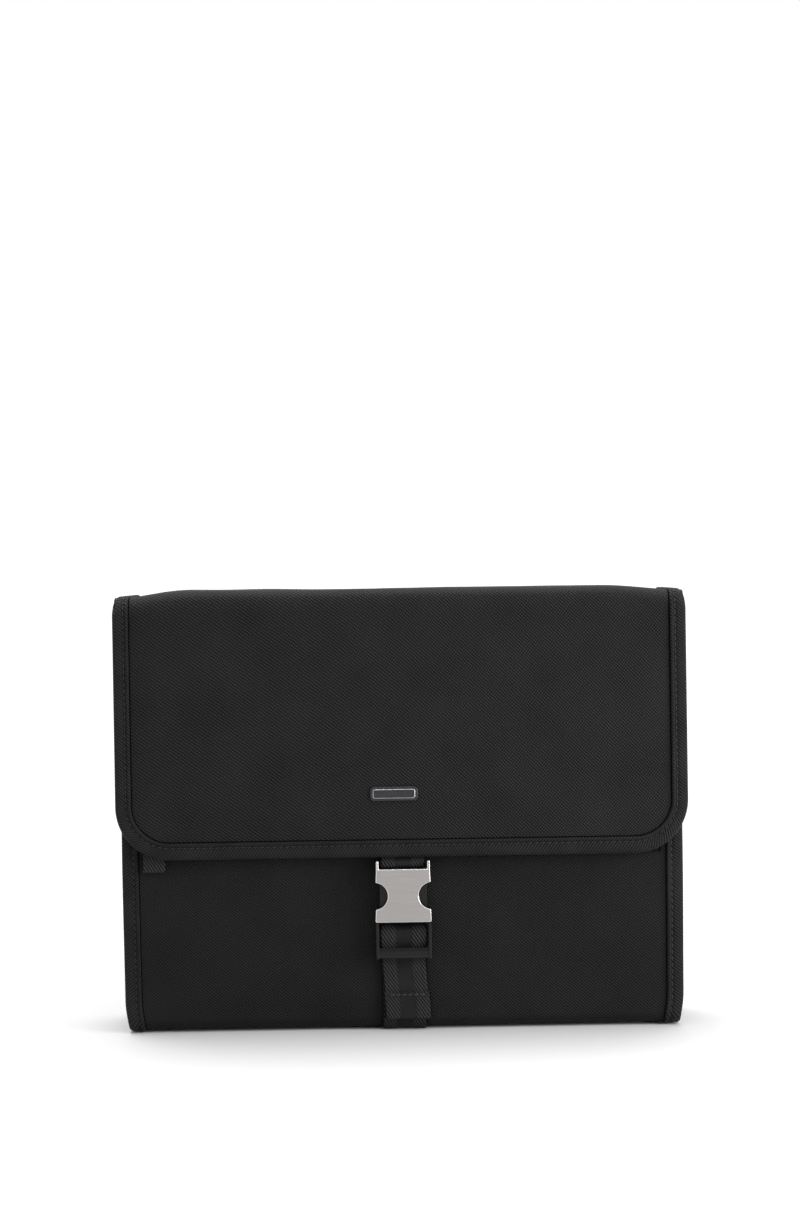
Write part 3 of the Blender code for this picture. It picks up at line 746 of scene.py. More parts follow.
def flap_lining():
    low, high = box("flap_lining")
    fine = high[2] - 4 * MM
    zs = np.concatenate([np.arange(low[2] + 0.3 * MM, fine, 2.2 * MM), np.arange(fine, high[2], 0.8 * MM)])
    grid = np.zeros((len(zs), 91, 3))
    grid[..., 0] = flap_half_width(zs)[:, None] * np.linspace(-1, 1, 91)[None]
    grid[..., 1] = high[1] - 0.3 * MM
    grid[..., 2] = zs[:, None]
    edge = ease(FLAP_HIGH[0] - np.abs(grid[..., 0]), 5, 10) * ease(grid[..., 2] - low[2], 6, 10)
    grid[..., 1] += 0.3 * MM * edge * wrinkle(grid, 26 * MM, 7.0)
    piece = sheet("flap_lining_cloth", grid, 0.8 * MM, MAT["lining"], flip=True)
    place(piece, "flap", "lining", ["flap_lining"])


flap_cloth()
flap_binding()
flap_lining()


# ------------------------------------------------------------------ front, base and back
BASE_MID = 3.0 * MM
BASE_Z = BASE_LOW[2] - 0.3 * MM
BEND_R = 5.0 * MM
WALL_STEP = 1.6 * MM
SIDE_TAPE = 7.6 * MM
TOP_TAPE = 6.4 * MM
FRONT_TOP = FRONT_BIND_HIGH[2] + 2.3 * MM
ZIP_Z = 81.6 * MM
ZIP_SLOT = (ZIP_Z - 1.7 * MM, ZIP_Z + 1.7 * MM)


def wall_profile(face_y, s, top, base_z, radius=BEND_R):
    """From the middle of the base, round the lower edge and up a wall that faces s, -1 or 1, on Y."""
    ys = np.arange(0, abs(face_y - BASE_MID) - radius, WALL_STEP)
    flat = np.stack([0 * ys, BASE_MID + s * ys, 0 * ys + base_z], -1)
    center = (0, face_y - s * radius, base_z + radius)
    bow, bow_out = arc(center, radius, 270, 360, 14, (s * Y_AXIS, Z_AXIS))
    zs = np.append(np.arange(base_z + radius + WALL_STEP, top, WALL_STEP), top)
    wall = np.stack([0 * zs, 0 * zs + face_y, zs], -1)
    out = np.concatenate([like(-Z_AXIS, flat), bow_out, like(s * Y_AXIS, wall)])
    return np.concatenate([flat, bow, wall]), out


def taper(grid):
    """The body narrows towards the base and its lower corners are rounded off."""
    z = grid[..., 2]
    return 1 - 0.004 * (1 - smooth(z / (80 * MM))) - 0.013 * (1 - smooth(z / (17 * MM))) ** 1.6


def wall_cloth(wall, face_y, s, top, fold, nodes, seed, puff_size, slit=None):
    """A wall's cloth with its half of the base. slit is the (low, high) of a zip's opening in it."""
    profile, normal = wall_profile(face_y, s, top, BASE_Z)
    for edge in slit or ():
        k = np.argmin(np.abs(profile[:, 2] - edge) + (np.abs(profile[:, 1] - face_y) > 1e-6))
        profile[k, 2] = edge
    xs = np.linspace(-1, 1, 97) * (BODY_HALF - EDGE_INSET)
    xs = np.unique(np.append(xs, [-FRONT_ZIP_HALF, FRONT_ZIP_HALF]))
    grid = np.repeat(profile[:, None], len(xs), axis=1)
    grid[..., 0] = xs[None]
    grid[..., 0] *= taper(grid)
    z = grid[..., 2]
    edge = ease(FRONT_HIGH[0] - np.abs(grid[..., 0]), 6, 18)
    soft = ease(z, 5, 12) * ease(top - 10 * MM - z, 0, 12) * edge
    puff = puff_size * soft
    puff += (0.5 * MM + 0.8 * puff_size) * wrinkle(grid * (1.0, 1, 0.8), 55 * MM, seed) * soft
    puff += 0.2 * MM * wrinkle(grid, 16 * MM, seed + 5) * soft
    gathers = 0.35 * MM * wrinkle(grid * (1, 1, 0.4), 14 * MM, seed + 9) * edge
    puff += gathers * smooth(1 - z / (26 * MM)) * smooth(z / (4 * MM))
    puff = np.maximum(puff, -0.2 * MM)
    keep = None
    if slit:
        puff *= 1 - smooth(1 - np.abs(z - (slit[0] + slit[1]) / 2) / (7 * MM))
        z_mid = (profile[1:, 2] + profile[:-1, 2])[:, None] / 2
        x_mid = (xs[1:] + xs[:-1])[None] / 2
        hole = (z_mid > slit[0]) & (z_mid < slit[1]) & (np.abs(x_mid) < FRONT_ZIP_HALF)
        keep = ~(hole & (profile[1:, 1] == face_y)[:, None])
    grid = grid + normal[:, None] * puff[..., None]
    piece = sheet(f"{wall}_cloth", grid, CLOTH_THICK, MAT[wall], flip=s > 0, keep=keep)
    place(piece, fold, f"{wall}_twill", nodes)


def side_path(mid_y, s, top, side):
    """A wall's bound side from the middle of the base up, with its inward and outward directions."""
    profile, normal = wall_profile(mid_y, s, top, 3.1 * MM, radius=3.2 * MM)
    path = profile + (side * BODY_HALF, 0, 0)
    path[:, 0] *= taper(path)
    return path, like(-side * X_AXIS, path), normal


def binding_stitches(wall, name, path, inward, out, width, depth, fold, ends=0.0):
    for where, sign in (("outer", 1), ("inner", -1)):
        row = path + inward * (width - GROOVE) + out * sign * depth
        thread = stitches(f"{wall}_stitches_{where}_{name}", row, out * sign, ends=2 * MM + ends)
        place(thread, fold, "binding_tape")


SIDES = (("left", -1), ("right", 1))


def front_binding():
    """The front's side strips run straight up, and its top strip lies between them."""
    mid_y = (FRONT_BIND_LOW[1] + FRONT_BIND_HIGH[1]) / 2
    front = mid_y - FRONT_BIND_LOW[1]
    strips = [(name, *side_path(mid_y, -1, FRONT_TOP, side), SIDE_TAPE, front, 0.0) for name, side in SIDES]
    xs = np.linspace(-BODY_HALF + 0.8 * MM, BODY_HALF - 0.8 * MM, 120)
    path = row_at(xs, mid_y, FRONT_TOP - 0.3 * MM)
    down, out = like(-Z_AXIS, path), like(-Y_AXIS, path)
    strips.append(("top", path, down, out, TOP_TAPE, front - 0.35 * MM, 6.2 * MM))
    for name, path, inward, out, width, face, ends in strips:
        section = binding_section(width, face, face)
        piece = swept(f"front_binding_{name}", path, inward, out, section, MAT["tape"])
        place(piece, FRONT_FOLD, "binding_tape", ["front_binding"] if name == "top" else [])
        # Painted shadow line along each strip's bead
        painted_shade = shadow_line_beside(f"front_shadow_line_{name}", path, inward, out, width, face + 0.2 * MM, 0.24 * MM)
        place(painted_shade, FRONT_FOLD, "binding_tape")
        binding_stitches("front", name, path, inward, out, width, face - 0.4 * MM, FRONT_FOLD, ends)


def back_binding(name, side):
    mid_y = (BACK_BIND_LOW[1] + BACK_BIND_HIGH[1]) / 2
    face = BACK_BIND_HIGH[1] - mid_y
    path, inward, out = side_path(mid_y, 1, BACK_BIND_HIGH[2], side)
    section = binding_section(SIDE_TAPE, face, face)
    piece = swept(f"back_binding_tape_{name}", path, inward, out, section, MAT["tape"])
    place(piece, BACK_FOLD, "binding_tape", [f"back_binding_{name}", f"base_binding_{name}"])
    binding_stitches("back", name, path, inward, out, SIDE_TAPE, face - 0.3 * MM, BACK_FOLD)


def lining_wall(wall, body, face):
    """A lining's flat side, seen when open. face is -1 or 1 on Y for a wall, or 0 for the base."""
    node = f"{wall}_lining"
    low, high = box(node)
    up, margin = (2, 0.5 * MM) if face else (1, 2.2 * MM)
    a = np.linspace(low[up] + margin, high[up] - margin, int((high[up] - low[up]) / (3 * MM)))
    grid = np.zeros((len(a), 85, 3))
    grid[..., 0] = np.linspace(low[0] + 1 * MM, high[0] - 1 * MM, 85)[None] * 0.992
    grid[..., up] = a[:, None]
    grid[..., 3 - up] = (low if face < 0 else high)[3 - up]
    out = face * Y_AXIS if face else Z_AXIS
    edge = ease(high[0] - np.abs(grid[..., 0]), 6, 12)
    grid = grid + out * (0.25 * MM * edge * (wrinkle(grid, 24 * MM, 1.5) - 0.6))[..., None]
    piece = sheet(f"{wall}_lining_cloth", grid, 0.5 * MM, MAT["lining"], flip=face > 0)
    place(piece, body, "lining", [node])


front_top = FRONT_HIGH[2] + 2 * MM
wall_cloth("front", FRONT_LOW[1], -1, front_top, FRONT_FOLD, ["front_panel"], 2.2, 0.5 * MM, ZIP_SLOT)
back_nodes = ["back_panel", "back_foam", "base_panel", "base_board"]
wall_cloth("back", BACK_HIGH[1], 1, BACK_HIGH[2], BACK_FOLD, back_nodes, 6.2, 2.6 * MM)
front_binding()
for side_name, side in SIDES:
    back_binding(side_name, side)
for seam, y, z, out in (
    ("back", BACK_HIGH[1] + 0.15 * MM, BACK_TOP - 3.2 * MM, Y_AXIS),
    ("top_back", TOP_HIGH[1] - BACK_ROLL_R - 0.2 * MM, TOP_HIGH[2] + 0.15 * MM, Z_AXIS),
):
    place(stitch_row(f"seam_stitches_{seam}", 118, 90, y, z, out), "back_section", "back_twill")
lining_wall("front", "front_section", 1)
lining_wall("back", "back_section", -1)
lining_wall("base", "base", 0)


# ------------------------------------------------------------------ webbing
def rib_height(x, s, half):
    """Height of slanting ribs, from 0 to 1. With a half width, the middle is fine and the sides are bold."""
    lean_x, lean_z = math.sin(math.radians(58)), math.cos(math.radians(58))
    phase = (x * lean_x + s * lean_z) * 2 * math.pi
    bold = 0.5 + 0.5 * np.sin(phase / (1.22 * MM))
    if half is None:
        return bold
    fine = 0.5 + 0.5 * np.sin(phase / (0.7 * MM))
    t = np.abs(x) / half
    side = smooth((t - 0.24) / 0.2) * (1 - smooth((t - 0.9) / 0.09))
    middle = 1 - smooth((t - 0.2) / 0.22)
    return bold * side + (0.08 + 0.45 * fine) * middle


def webbing(name, path, outward, half, thick, depth=0.42 * MM, columns=84, middle=True):
    """A flat woven strap along a path, with its ribs in the mesh on both faces."""
    path, out = resample(path, outward, 0.3 * MM)
    run = run_along(path)
    x = np.linspace(-half, half, columns)
    rib = rib_height(x[None], run[:, None], half if middle else None) * depth
    rim = np.clip((np.abs(x) / half - 0.93) / 0.07, 0, 1)
    edge_drop = thick / 2 * (1 - np.sqrt(np.clip(1 - rim ** 2, 0, 1))) * 0.8
    front = thick / 2 - depth + rib - edge_drop[None]
    n = len(path)
    section = np.zeros((n, 2 * columns, 2))
    section[..., 0] = np.concatenate([x, x[::-1]])
    section[..., 1] = np.concatenate([front, -front[:, ::-1]], 1)
    cloth = np.zeros((n, 2 * columns, 3))
    cloth[..., 0] = section[..., 0]
    cloth[..., 1] = run[:, None]
    # The rib height, which the webbing material paints as shade in the valleys and as highlights on the ribs
    cloth[..., 2] = np.concatenate([rib, rib[:, ::-1]], 1) / depth
    return swept(name, path, like(X_AXIS, path), out, section, MAT["web"], cloth=cloth)


def smooth_path(points, count=160):
    """A smooth curve through (y, z) points in mm, with its outward side on the left of travel."""
    p = np.array(points, float) * MM
    run = run_along(p)
    at = np.linspace(0, run[-1], count)
    kernel = np.hanning(9)
    kernel /= kernel.sum()

    def softened(values):
        padded = np.pad(np.interp(at, run, values), 4, mode="reflect", reflect_type="odd")
        return np.convolve(padded, kernel, "valid")

    ys, zs = softened(p[:, 0]), softened(p[:, 1])
    path = np.stack([0 * ys, ys, zs], -1)
    tangent = unit(np.gradient(path, axis=0))
    return path, np.stack([0 * ys, -tangent[:, 2], tangent[:, 1]], -1)


def loop_points(cy, cz, r, start, end):
    """(y, z) points round an arc, in mm."""
    angles = [math.radians(start + (end - start) * k / 10) for k in range(11)]
    return [(cy + r * math.cos(a), cz + r * math.sin(a)) for a in angles]


def shifted(points, rise=RISE):
    """Points given from the layer stack's and the buckle's own zeros, in mm, moved to the frame's."""
    return [(y + SHIFT, z + rise) for y, z in points]


def lean_tail(piece):
    """The loose tail hangs a little to the right of the buckle's middle."""
    for vertex in piece.data.vertices:
        vertex.co.x += 1.7 * MM * float(smooth(np.array((33 * MM - vertex.co.z) / (28 * MM))))


def straps():
    # Strap that hangs the buckle from the flap: down, round the bar, and up behind it
    turn = loop_points(-31.55 + SHIFT, 73.6 + RISE, 1.45, 180, 360)
    down = shifted([(-31.0, 102.0), (-31.0, 77.8), (-31.5, 76.6), (-33.0, 75.0)])
    path, out = smooth_path(down + turn + shifted([(-30.1, 76.4)]))
    piece = webbing("flap_strap_webbing", path[::-1], -out[::-1], WEB_HALF, 1.1 * MM)
    place(piece, "flap", "webbing", ["flap_strap"])
    # Loop through the plug, with the loose tail in front
    points = [(-28.9, 28.6), (-30.05, 30.8), (-30.6, 33.5), (-30.9, 36.0), (-31.8, 38.5), (-32.3, 41.0)]
    points += [(-32.2, 43.8), (-31.2, 45.7), (-29.5, 46.2), (-27.9, 45.4), (-27.0, 43.2), (-26.7, 40.5)]
    points += [(-26.7, 31.4)]
    path, out = smooth_path(shifted([(-28.45, 5.9)], 0) + shifted([(-28.45, 26.0)] + points), 240)
    piece = webbing("strap_loop_webbing", path, out, WEB_HALF, 1.2 * MM)
    lean_tail(piece)
    for vertex in piece.data.vertices:
        up = vertex.co.z / MM - RISE
        vertex.co.x *= 1 + 0.055 * float(smooth(np.array((up - 34) / 4)))
    place(piece, "plug", "webbing", ["strap_loop"])
    # The tail's folded hem and its stitch row
    path, out = smooth_path(shifted([(-28.85, 5.6), (-28.85, 18.0)], 0), 40)
    hem = webbing("strap_hem_webbing", path, out, WEB_HALF + 0.45 * MM, 1.35 * MM)
    thread = stitch_row(
        "strap_hem_stitches", 8.6, 30, (-29.5 + SHIFT) * MM, 16.5 * MM, -Y_AXIS,
        pitch=2.7 * MM, size=(1.25 * MM, 0.55 * MM, 0.5 * MM), ends=1.8 * MM,
    )
    for piece in (hem, thread):
        lean_tail(piece)
        place(piece, "plug", "webbing")
    # From under the base round the lower edge and up to the plug
    y = -26.7 + SHIFT
    corner = loop_points(-21.9 + SHIFT, 5.4, 4.8, 270, 180)
    path, out = smooth_path([(11.8, 0.6), (-21.0 + SHIFT, 0.6)] + corner + [(y, 11.0)], 200)
    piece = webbing("strap_under_base_webbing", path, out, WEB_HALF, 1.2 * MM)
    place(piece, FRONT_FOLD, "webbing", ["strap_base"])
    path, out = smooth_path([(y, 10.6), (y, 30.9 + RISE)], 60)
    piece = webbing("strap_run_webbing", path, out, WEB_HALF, 1.1 * MM)
    place(piece, "front_section", "webbing", ["strap_run"])
    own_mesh(piece)


straps()


# ------------------------------------------------------------------ buckle
def buckle_outline():
    """The plate's outline in mm, right half from the bottom centre up: notch, ear, then mirrored."""
    low, high, ear = 47.8 + RISE, 71.9 + RISE, 75.7 + RISE
    half_low, half_high, ear_in = 12.7, 12.2, 11.0
    notch_x, notch_z, notch_r = 13.1, 59.8 + RISE, 6.1
    opening = math.degrees(math.acos((notch_x - (half_low + half_high) / 2) / notch_r))
    half = [(half_low - 0.5, low), (half_low, low + 0.5)]
    for a in np.radians(np.linspace(180 + opening, 180 - opening, 28)):
        half.append((notch_x + notch_r * math.cos(a), notch_z + notch_r * math.sin(a)))
    half += [(half_high, high), (half_high, ear - 0.5), (half_high - 0.3, ear)]
    half += [(ear_in + 0.25, ear), (ear_in, ear - 0.3), (ear_in, high)]
    return half + [(-x, z) for x, z in reversed(half)]


def round_edges(obj, width, segments, angle, rim=None):
    """Rounds edges sharper than angle, width in mm. rim is a material for the rounded edges."""
    mod = obj.modifiers.new("edges", "BEVEL")
    mod.width = width * MM
    mod.segments = segments
    mod.limit_method = "ANGLE"
    mod.angle_limit = math.radians(angle)
    if rim:
        obj.data.materials.append(rim)
        mod.material = 1
    obj.modifiers.new("normals", "WEIGHTED_NORMAL")


def prism_faces(n):
    """Faces of a prism whose first n points are one end and whose next n are the other."""
    faces = [tuple(range(n)), tuple(range(2 * n - 1, n - 1, -1))]
    return faces + [(k, n + k, n + (k + 1) % n, (k + 1) % n) for k in range(n)]


def plate_solid(name, outline, y0, y1, mat, bevel, rim, body, slot, replaces=()):
    """An outline in XZ made solid between two depths in mm, with rounded edges."""
    points = [(x * MM, (y + SHIFT) * MM, z * MM) for y in (y0, y1) for x, z in outline]
    piece = make_closed(name, points, prism_faces(len(outline)), None, mat)
    round_edges(piece, bevel, 3, 50, rim)
    place(piece, body, slot, replaces)


def bevelled_node(node, mat, width, segments=2):
    """Keeps a hard CAD node, with its edges rounded and its own material."""
    obj = NODES[node]
    obj.data.materials.clear()
    obj.data.materials.append(mat)
    round_edges(obj, width, segments, 35)


def box_mesh(x, y, z):
    """Points and faces of a box between three (low, high) spans in mm."""
    points = [(a * MM, (b + SHIFT) * MM, (c + RISE) * MM) for a in x for b in y for c in z]
    return points, [(0, 1, 3, 2), (4, 6, 7, 5), (0, 4, 5, 1), (2, 3, 7, 6), (0, 2, 6, 4), (1, 5, 7, 3)]


def bar_mesh(section):
    """Points and faces of a bar along X, between the side rails, with this (y, z) section in mm."""
    points = [(x * MM, (y + SHIFT) * MM, (z + RISE) * MM) for x in (-11.6, 11.6) for y, z in section]
    return points, prism_faces(len(section))


def plug_frame():
    """Slim side rails, a concave lower bar, a thin upper bar, the bar inside the loop and the tongue."""
    hollow = [(-33.1 - 0.75 * ((z - 33.6) / 2.3) ** 2, z) for z in np.linspace(31.3, 35.9, 9)]
    parts = [
        box_mesh((-12.6, -11.2), (-33.8, -27.9), (30.8, 47.4)),
        box_mesh((11.2, 12.6), (-33.8, -27.9), (30.8, 47.4)),
        bar_mesh(hollow + [(-31.6, 35.8), (-31.4, 31.4)]),
        bar_mesh([(-32.9, 47.0), (-32.9, 47.7), (-30.6, 47.7), (-30.6, 47.0)]),
        bar_mesh([(-29.6, 39.8), (-29.6, 42.2), (-27.6, 42.2), (-27.6, 39.8)]),
        box_mesh((-2.1, 2.1), (-33.1, -31.6), (46.9, 60.0)),
    ]
    points, faces = [], []
    for p, f in parts:
        faces += [tuple(len(points) + k for k in face) for face in f]
        points += p
    piece = make_closed("plug_frame", points, faces, None, MAT["plastic"])
    round_edges(piece, 0.38, 3, 40)
    place(piece, "plug", "buckle_plastic", ["buckle_plug"])


def badge():
    """A plain bevelled bar with a raised panel inside its rim."""
    low, high = box("badge")
    cx, cz, y = (low[0] + high[0]) / 2 / MM, (low[2] + high[2]) / 2 / MM, low[1] / MM - SHIFT
    for name, half_x, half_z, radius, y0, y1, bevel, rim, nodes in (
        ("badge_bar", 10.75, 3.25, 1.6, y, y + 1.3, 0.3, "badge", ["badge"]),
        ("badge_panel", 9.6, 2.1, 0.9, y - 0.35, y + 0.5, 0.28, "steel", []),
    ):
        outline = [(cx + x, cz + z) for x, z in rounded_ring(half_x, -half_z, half_z, radius, 120)]
        plate_solid(name, outline, y0, y1, MAT["badge"], bevel, MAT[rim], "flap", "badge_metal", nodes)


plate_solid(
    "buckle_plate", buckle_outline(), -36.2, -35.1, MAT["plate"], 0.5, MAT["rim"],
    "flap", "buckle_plate", ["buckle_faceplate"],
)
for hard in ("buckle_socket", "latch_arm_left", "latch_arm_right"):
    bevelled_node(hard, MAT["plastic"], 0.2)
plug_frame()
badge()
for side_name, _ in SIDES:
    bevelled_node(f"badge_washer_{side_name}", MAT["steel"], 0.12)
for zip_name in ("top", "middle", "lower", "front"):
    bevelled_node(f"{zip_name}_zip_slider", MAT["enamel"], 0.3, 3)
    if zip_name != "front":
        bevelled_node(f"{zip_name}_zip_pull", MAT["enamel"], 0.25)
bevelled_node("hanging_hook", MAT["hook"], 0.7, 3)


# ------------------------------------------------------------------ zips and pouches
def zip_parts(name, y, face, z, half, body, chain_node, tape_nodes=()):
    """Coil zip: a row of slanting teeth over a woven tape. It shows on side face, -1 or 1, of Y."""
    row = row_at(np.linspace(-half, half, 60), y - face * 0.75 * MM, z)
    size = (1.45 * MM, 0.3 * MM, 0.5 * MM)
    out = like(face * Y_AXIS, row)
    teeth = stitches(f"{name}_zip_coil", row, out, MAT["teeth"], 0.72 * MM, size, slant=81, ends=0.3 * MM)
    place(teeth, body, "zip_chain", [chain_node])
    zs = np.linspace(-5.5 * MM, 5.5 * MM, 25)
    grid = np.zeros((len(zs), 60, 3))
    grid[..., 0] = np.linspace(-half - 2 * MM, half + 2 * MM, 60)[None]
    grid[..., 1] = y - face * 1.35 * MM
    grid[..., 2] = z + zs[:, None]
    grid[..., 1] += face * (0.35 * MM * np.exp(-((zs / (1.7 * MM)) ** 2)))[:, None]
    tape = sheet(f"{name}_zip_tape_cloth", grid, 0.35 * MM, MAT["zip_tape"], flip=face > 0)
    place(tape, body, "zip_tape", tape_nodes)


def ring_mesh(name, rings, thick_dir, cloth, body, node):
    """A cloth skin through rings (rings, count, 3) that close on themselves, thick along thick_dir."""
    rows, count = rings.shape[:2]
    points = np.concatenate([rings.reshape(-1, 3), (rings + thick_dir).reshape(-1, 3)])
    half = rows * count
    faces = []
    for i in range(rows - 1):
        for k in range(count):
            q = (k + 1) % count
            quad = (i * count + k, i * count + q, (i + 1) * count + q, (i + 1) * count + k)
            faces += [quad, tuple(half + v for v in reversed(quad))]
    for i in (0, rows - 1):
        for k in range(count):
            a, b = i * count + k, i * count + (k + 1) % count
            faces.append((a, b, half + b, half + a))
    piece = make_closed(name, points, faces, np.concatenate([cloth.reshape(-1, 3)] * 2), MAT["pouch"])
    place(piece, body, "pouch_fabric", [node])


def pouch(name, body, face, zip_z, seed, puff, sag):
    """A pouch: soft gusset, piped edge, a face that bulges and sags, and a zip near its top."""
    low, high = box(f"{name}_pouch_gusset")
    y_face = box(f"{name}_pouch_face")[face > 0][1]
    y_back = high[1] if face < 0 else low[1]
    half, z0, z1, count = high[0], low[2], high[2], 300
    outer = rounded_ring(half, z0, z1, 7 * MM, count)
    centre = np.array([0, (z0 + z1) / 2])

    def shrunk(inset):
        return (outer - centre) * np.array([1 - inset / half, 1 - 2 * inset / (z1 - z0)]) + centre

    # Gusset
    depth = np.linspace(0, 1, 18)
    rings = np.zeros((len(depth), count, 3))
    for i, t in enumerate(depth):
        ring = shrunk(0.9 * MM * math.sin(math.pi * t) ** 0.7)
        rings[i, :, 0], rings[i, :, 2] = ring[:, 0], ring[:, 1]
        rings[i, :, 1] = y_back + (y_face - face * 1.6 * MM - y_back) * t
    from_centre = rings - np.array([0, 0, centre[1]])
    from_centre[..., 1] = 0
    middle = np.sin(np.pi * depth)[:, None]
    ripple = wrinkle(rings * (1, 0.6, 1), 19 * MM, seed) * 2.8 * MM * middle
    rings -= unit(from_centre) * (0.5 * MM * middle + np.abs(ripple))[..., None]
    cloth = np.zeros_like(rings)
    cloth[..., 0] = (np.arange(count) / count * 2 * (2 * half + z1 - z0))[None]
    cloth[..., 1] = depth[:, None] * abs(y_face - y_back)
    thick = -unit(from_centre) * 0.45 * MM
    ring_mesh(f"{name}_pouch_gusset_cloth", rings, thick, cloth, body, f"{name}_pouch_gusset")
    # Face, from its edge to the zip slot
    above = np.clip((outer[:, 1] - zip_z) / (z1 - zip_z), 0, 1)
    below = np.clip((zip_z - outer[:, 1]) / (zip_z - z0), 0, 1)
    tall = np.minimum(1.0, 1.25 * above) - np.minimum(1.0, 1.25 * below)
    slot_x = np.clip(outer[:, 0], -POUCH_ZIP_HALF, POUCH_ZIP_HALF)
    slot_ring = np.stack([slot_x, zip_z + 1.75 * MM * tall], -1)
    steps = np.concatenate([np.linspace(0, 0.1, 6), np.linspace(0.1, 1, 34)[1:]])[:, None, None]
    flat = shrunk(0.8 * MM)[None] * (1 - steps) + slot_ring[None] * steps
    rings = np.zeros((len(steps), count, 3))
    rings[..., 0], rings[..., 1], rings[..., 2] = flat[..., 0], y_face, flat[..., 1]
    x, z = rings[..., 0], rings[..., 2]
    from_edge = np.minimum(half - np.abs(x), np.minimum(z - z0, z1 - z))
    from_zip = np.abs(z - zip_z)
    soft = ease(from_edge, 1.5, 16) * ease(from_zip, 4.5, 12)
    rise = puff * soft + soft * sag * wrinkle(rings * (1, 1, 1.35), 36 * MM, seed)
    rise += soft * 0.35 * sag * wrinkle(rings, 13 * MM, seed + 3)
    gather = smooth(1 - np.abs(from_edge - 5 * MM) / (9 * MM))
    gather = gather + smooth(1 - np.abs(from_zip - 9 * MM) / (8 * MM))
    pleats = np.abs(wrinkle(rings * (1, 1, 0.3), 8 * MM, seed + 6))
    rise -= 0.9 * MM * gather * pleats * smooth(from_edge / (3 * MM))
    rise = np.clip(rise, -3.2 * MM, 1.3 * MM)
    rise -= 0.8 * MM * (1 - ease(from_edge, 0.5, 3))
    rings[..., 1] += face * rise
    cloth = np.stack([x, z, 0 * x], -1)
    thick = np.array([0, -face * 0.5 * MM, 0])
    ring_mesh(f"{name}_pouch_face_cloth", rings, thick, cloth, body, f"{name}_pouch_face")
    # Piping round the edge of the face
    path = np.stack([outer[:, 0], 0 * outer[:, 0] + y_face - face * 0.9 * MM, outer[:, 1]], -1)
    inward = np.stack([centre[0] - outer[:, 0] * 0.9, 0 * outer[:, 0], centre[1] - outer[:, 1]], -1)
    side = unit(np.cross(unit(np.roll(path, -1, 0) - np.roll(path, 1, 0)), Y_AXIS))
    side *= np.sign((side * inward).sum(-1, keepdims=True))
    circle = oval(0.95 * MM, 0.95 * MM, 10)
    piping = swept(f"{name}_pouch_piping", path, side, like(Y_AXIS, path), circle, MAT["tape"], closed=True)
    place(piping, body, "binding_tape")
    # Rows of stitches beside the zip
    for where, sign in (("below", -1), ("above", 1)):
        y, z = y_face + face * 0.05 * MM, zip_z + sign * 3.6 * MM
        thread = stitch_row(f"{name}_pouch_stitches_{where}", 107, 90, y, z, face * Y_AXIS)
        place(thread, body, "pouch_fabric")
    zip_parts(f"{name}_pouch", y_face, face, zip_z, POUCH_ZIP_HALF, body, f"{name}_pouch_zip_chain")


pouch("top", "back_section", -1, TOP_HIGH[2] - 19.2 * MM, 2.0, 0.0 * MM, 6.0 * MM)
pouch("middle", "back_section", -1, 81 * MM, 5.0, -0.8 * MM, 5.0 * MM)
pouch("lower", "front_section", 1, 60 * MM, 8.0, -0.8 * MM, 5.0 * MM)
y = FRONT_LOW[1]
zip_parts("front", y, -1, ZIP_Z, 117 * MM, "front_section", "front_zip_chain", ["front_zip_tape"])
row = stitch_row("front_zip_stitches_above", 118.5, 100, y - 0.08 * MM, ZIP_Z + 3.4 * MM, -Y_AXIS)
place(row, "front_section", "front_twill")


# ------------------------------------------------------------------ hook, its tab and sleeve, front pull
def hook_tab():
    low, high = box("hook_strap")
    y0, y1, foot = low[1] / MM, high[1] / MM, low[2] / MM + 0.4
    mid, r = (y0 + y1) / 2, (y1 - y0) / 2 - 0.55
    turn = loop_points(mid, high[2] / MM - r - 0.6, r, 180, 0)
    path, out = smooth_path([(mid - r, foot)] + turn + [(mid + r, foot)], 200)
    piece = webbing("hook_tab_webbing", path, out, high[0] - 0.3 * MM, 1.0 * MM)
    place(piece, "hook", "webbing", ["hook_strap"])


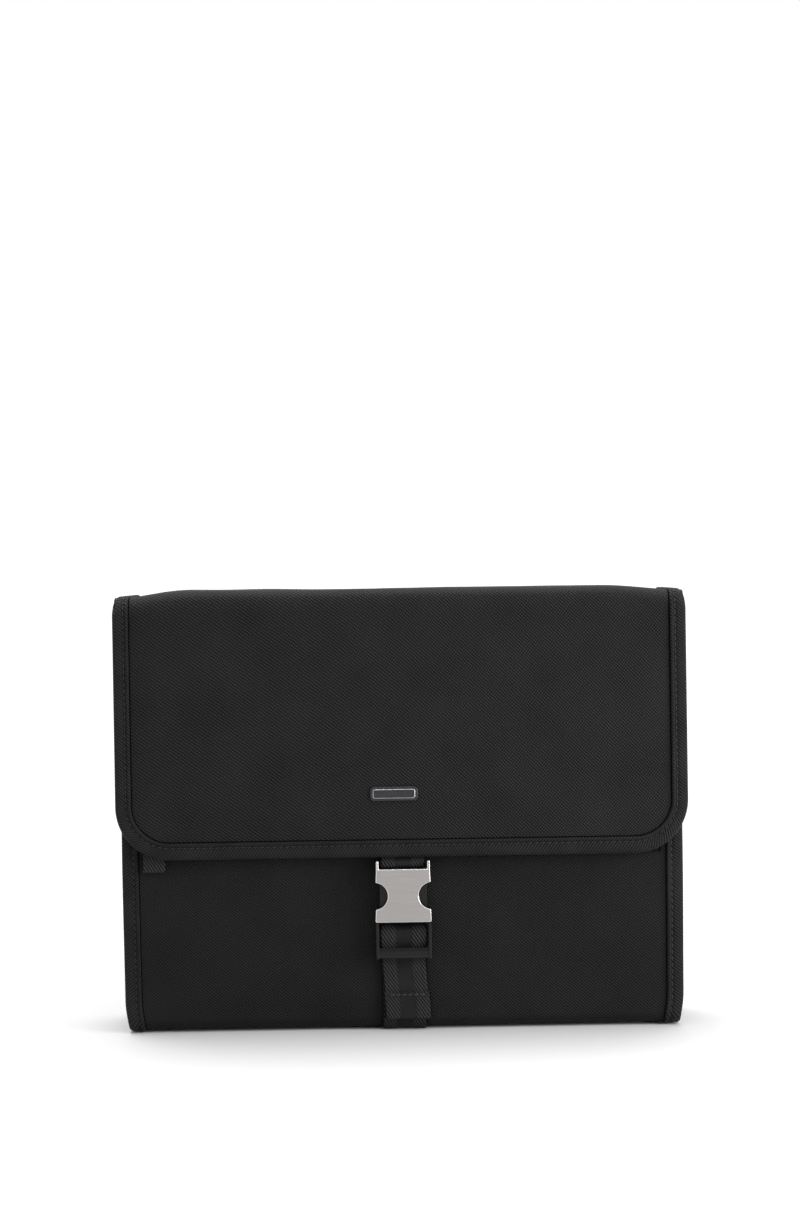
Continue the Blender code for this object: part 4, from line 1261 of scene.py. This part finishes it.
def hook_sleeve():
    """A flat tube behind the pouches that holds the hook."""
    low, high = box("hook_sleeve")
    ring = corner_points(high[0], low[1], high[1], 2.2 * MM, 6)
    ring = np.array(ring + ring[:1])
    fine = [ring[0]]
    for p, q in zip(ring, ring[1:]):
        count = max(1, int(np.linalg.norm(q - p) / (3 * MM)))
        fine += [p + (q - p) * k / count for k in range(1, count + 1)]
    fine = np.array(fine)
    grid = np.zeros((50, len(fine), 3))
    grid[..., :2] = fine[None]
    grid[..., 2] = np.linspace(low[2], high[2], 50)[:, None]
    piece = sheet("hook_sleeve_cloth", grid, 0.4 * MM, MAT["lining"])
    face_out(piece)
    place(piece, "back_section", "lining", ["hook_sleeve"])


def slit_welt():
    """A stitched welt round the hook's slit in the top."""
    low, high = box("hook_slit_trim")
    ring = rounded_ring(high[0] - 0.9 * MM, 0.0, high[1] - low[1] - 0.7 * MM, 1.2 * MM, 120)
    path = np.stack([ring[:, 0], low[1] + 1.0 * MM + ring[:, 1], 0 * ring[:, 0] + low[2] + 0.1 * MM], -1)
    side = np.cross(unit(np.roll(path, -1, 0) - np.roll(path, 1, 0)), Z_AXIS)
    welt = oval(0.9 * MM, 0.5 * MM, 12)
    piece = swept("slit_welt", path, side, like(Z_AXIS, path), welt, MAT["tape"], closed=True)
    place(piece, "back_section", "binding_tape", ["hook_slit_trim"])


def front_puller():
    """The webbing tab on the outer zip, folded at its lower end."""
    low, high = box("front_zip_pull")
    y0, y1, z0, z1 = low[1] / MM, high[1] / MM, low[2] / MM, high[2] / MM
    mid, x_mid, half = (y0 + y1) / 2, (low[0] + high[0]) / 2, (high[0] - low[0]) / 2
    turn = loop_points(mid, z0 + 3.6, 0.42, 180, 360)
    path, out = smooth_path([(mid - 0.42, z1)] + turn + [(mid + 0.42, z1)])
    path = (path + (x_mid, 0, 0))[::-1]
    piece = webbing("front_zip_puller", path, -out[::-1], half, 0.75 * MM, 0.25 * MM, 48, middle=False)
    place(piece, "front_zip_pull", "webbing", ["front_zip_pull"])


hook_tab()
hook_sleeve()
slit_welt()
front_puller()

low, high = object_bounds()
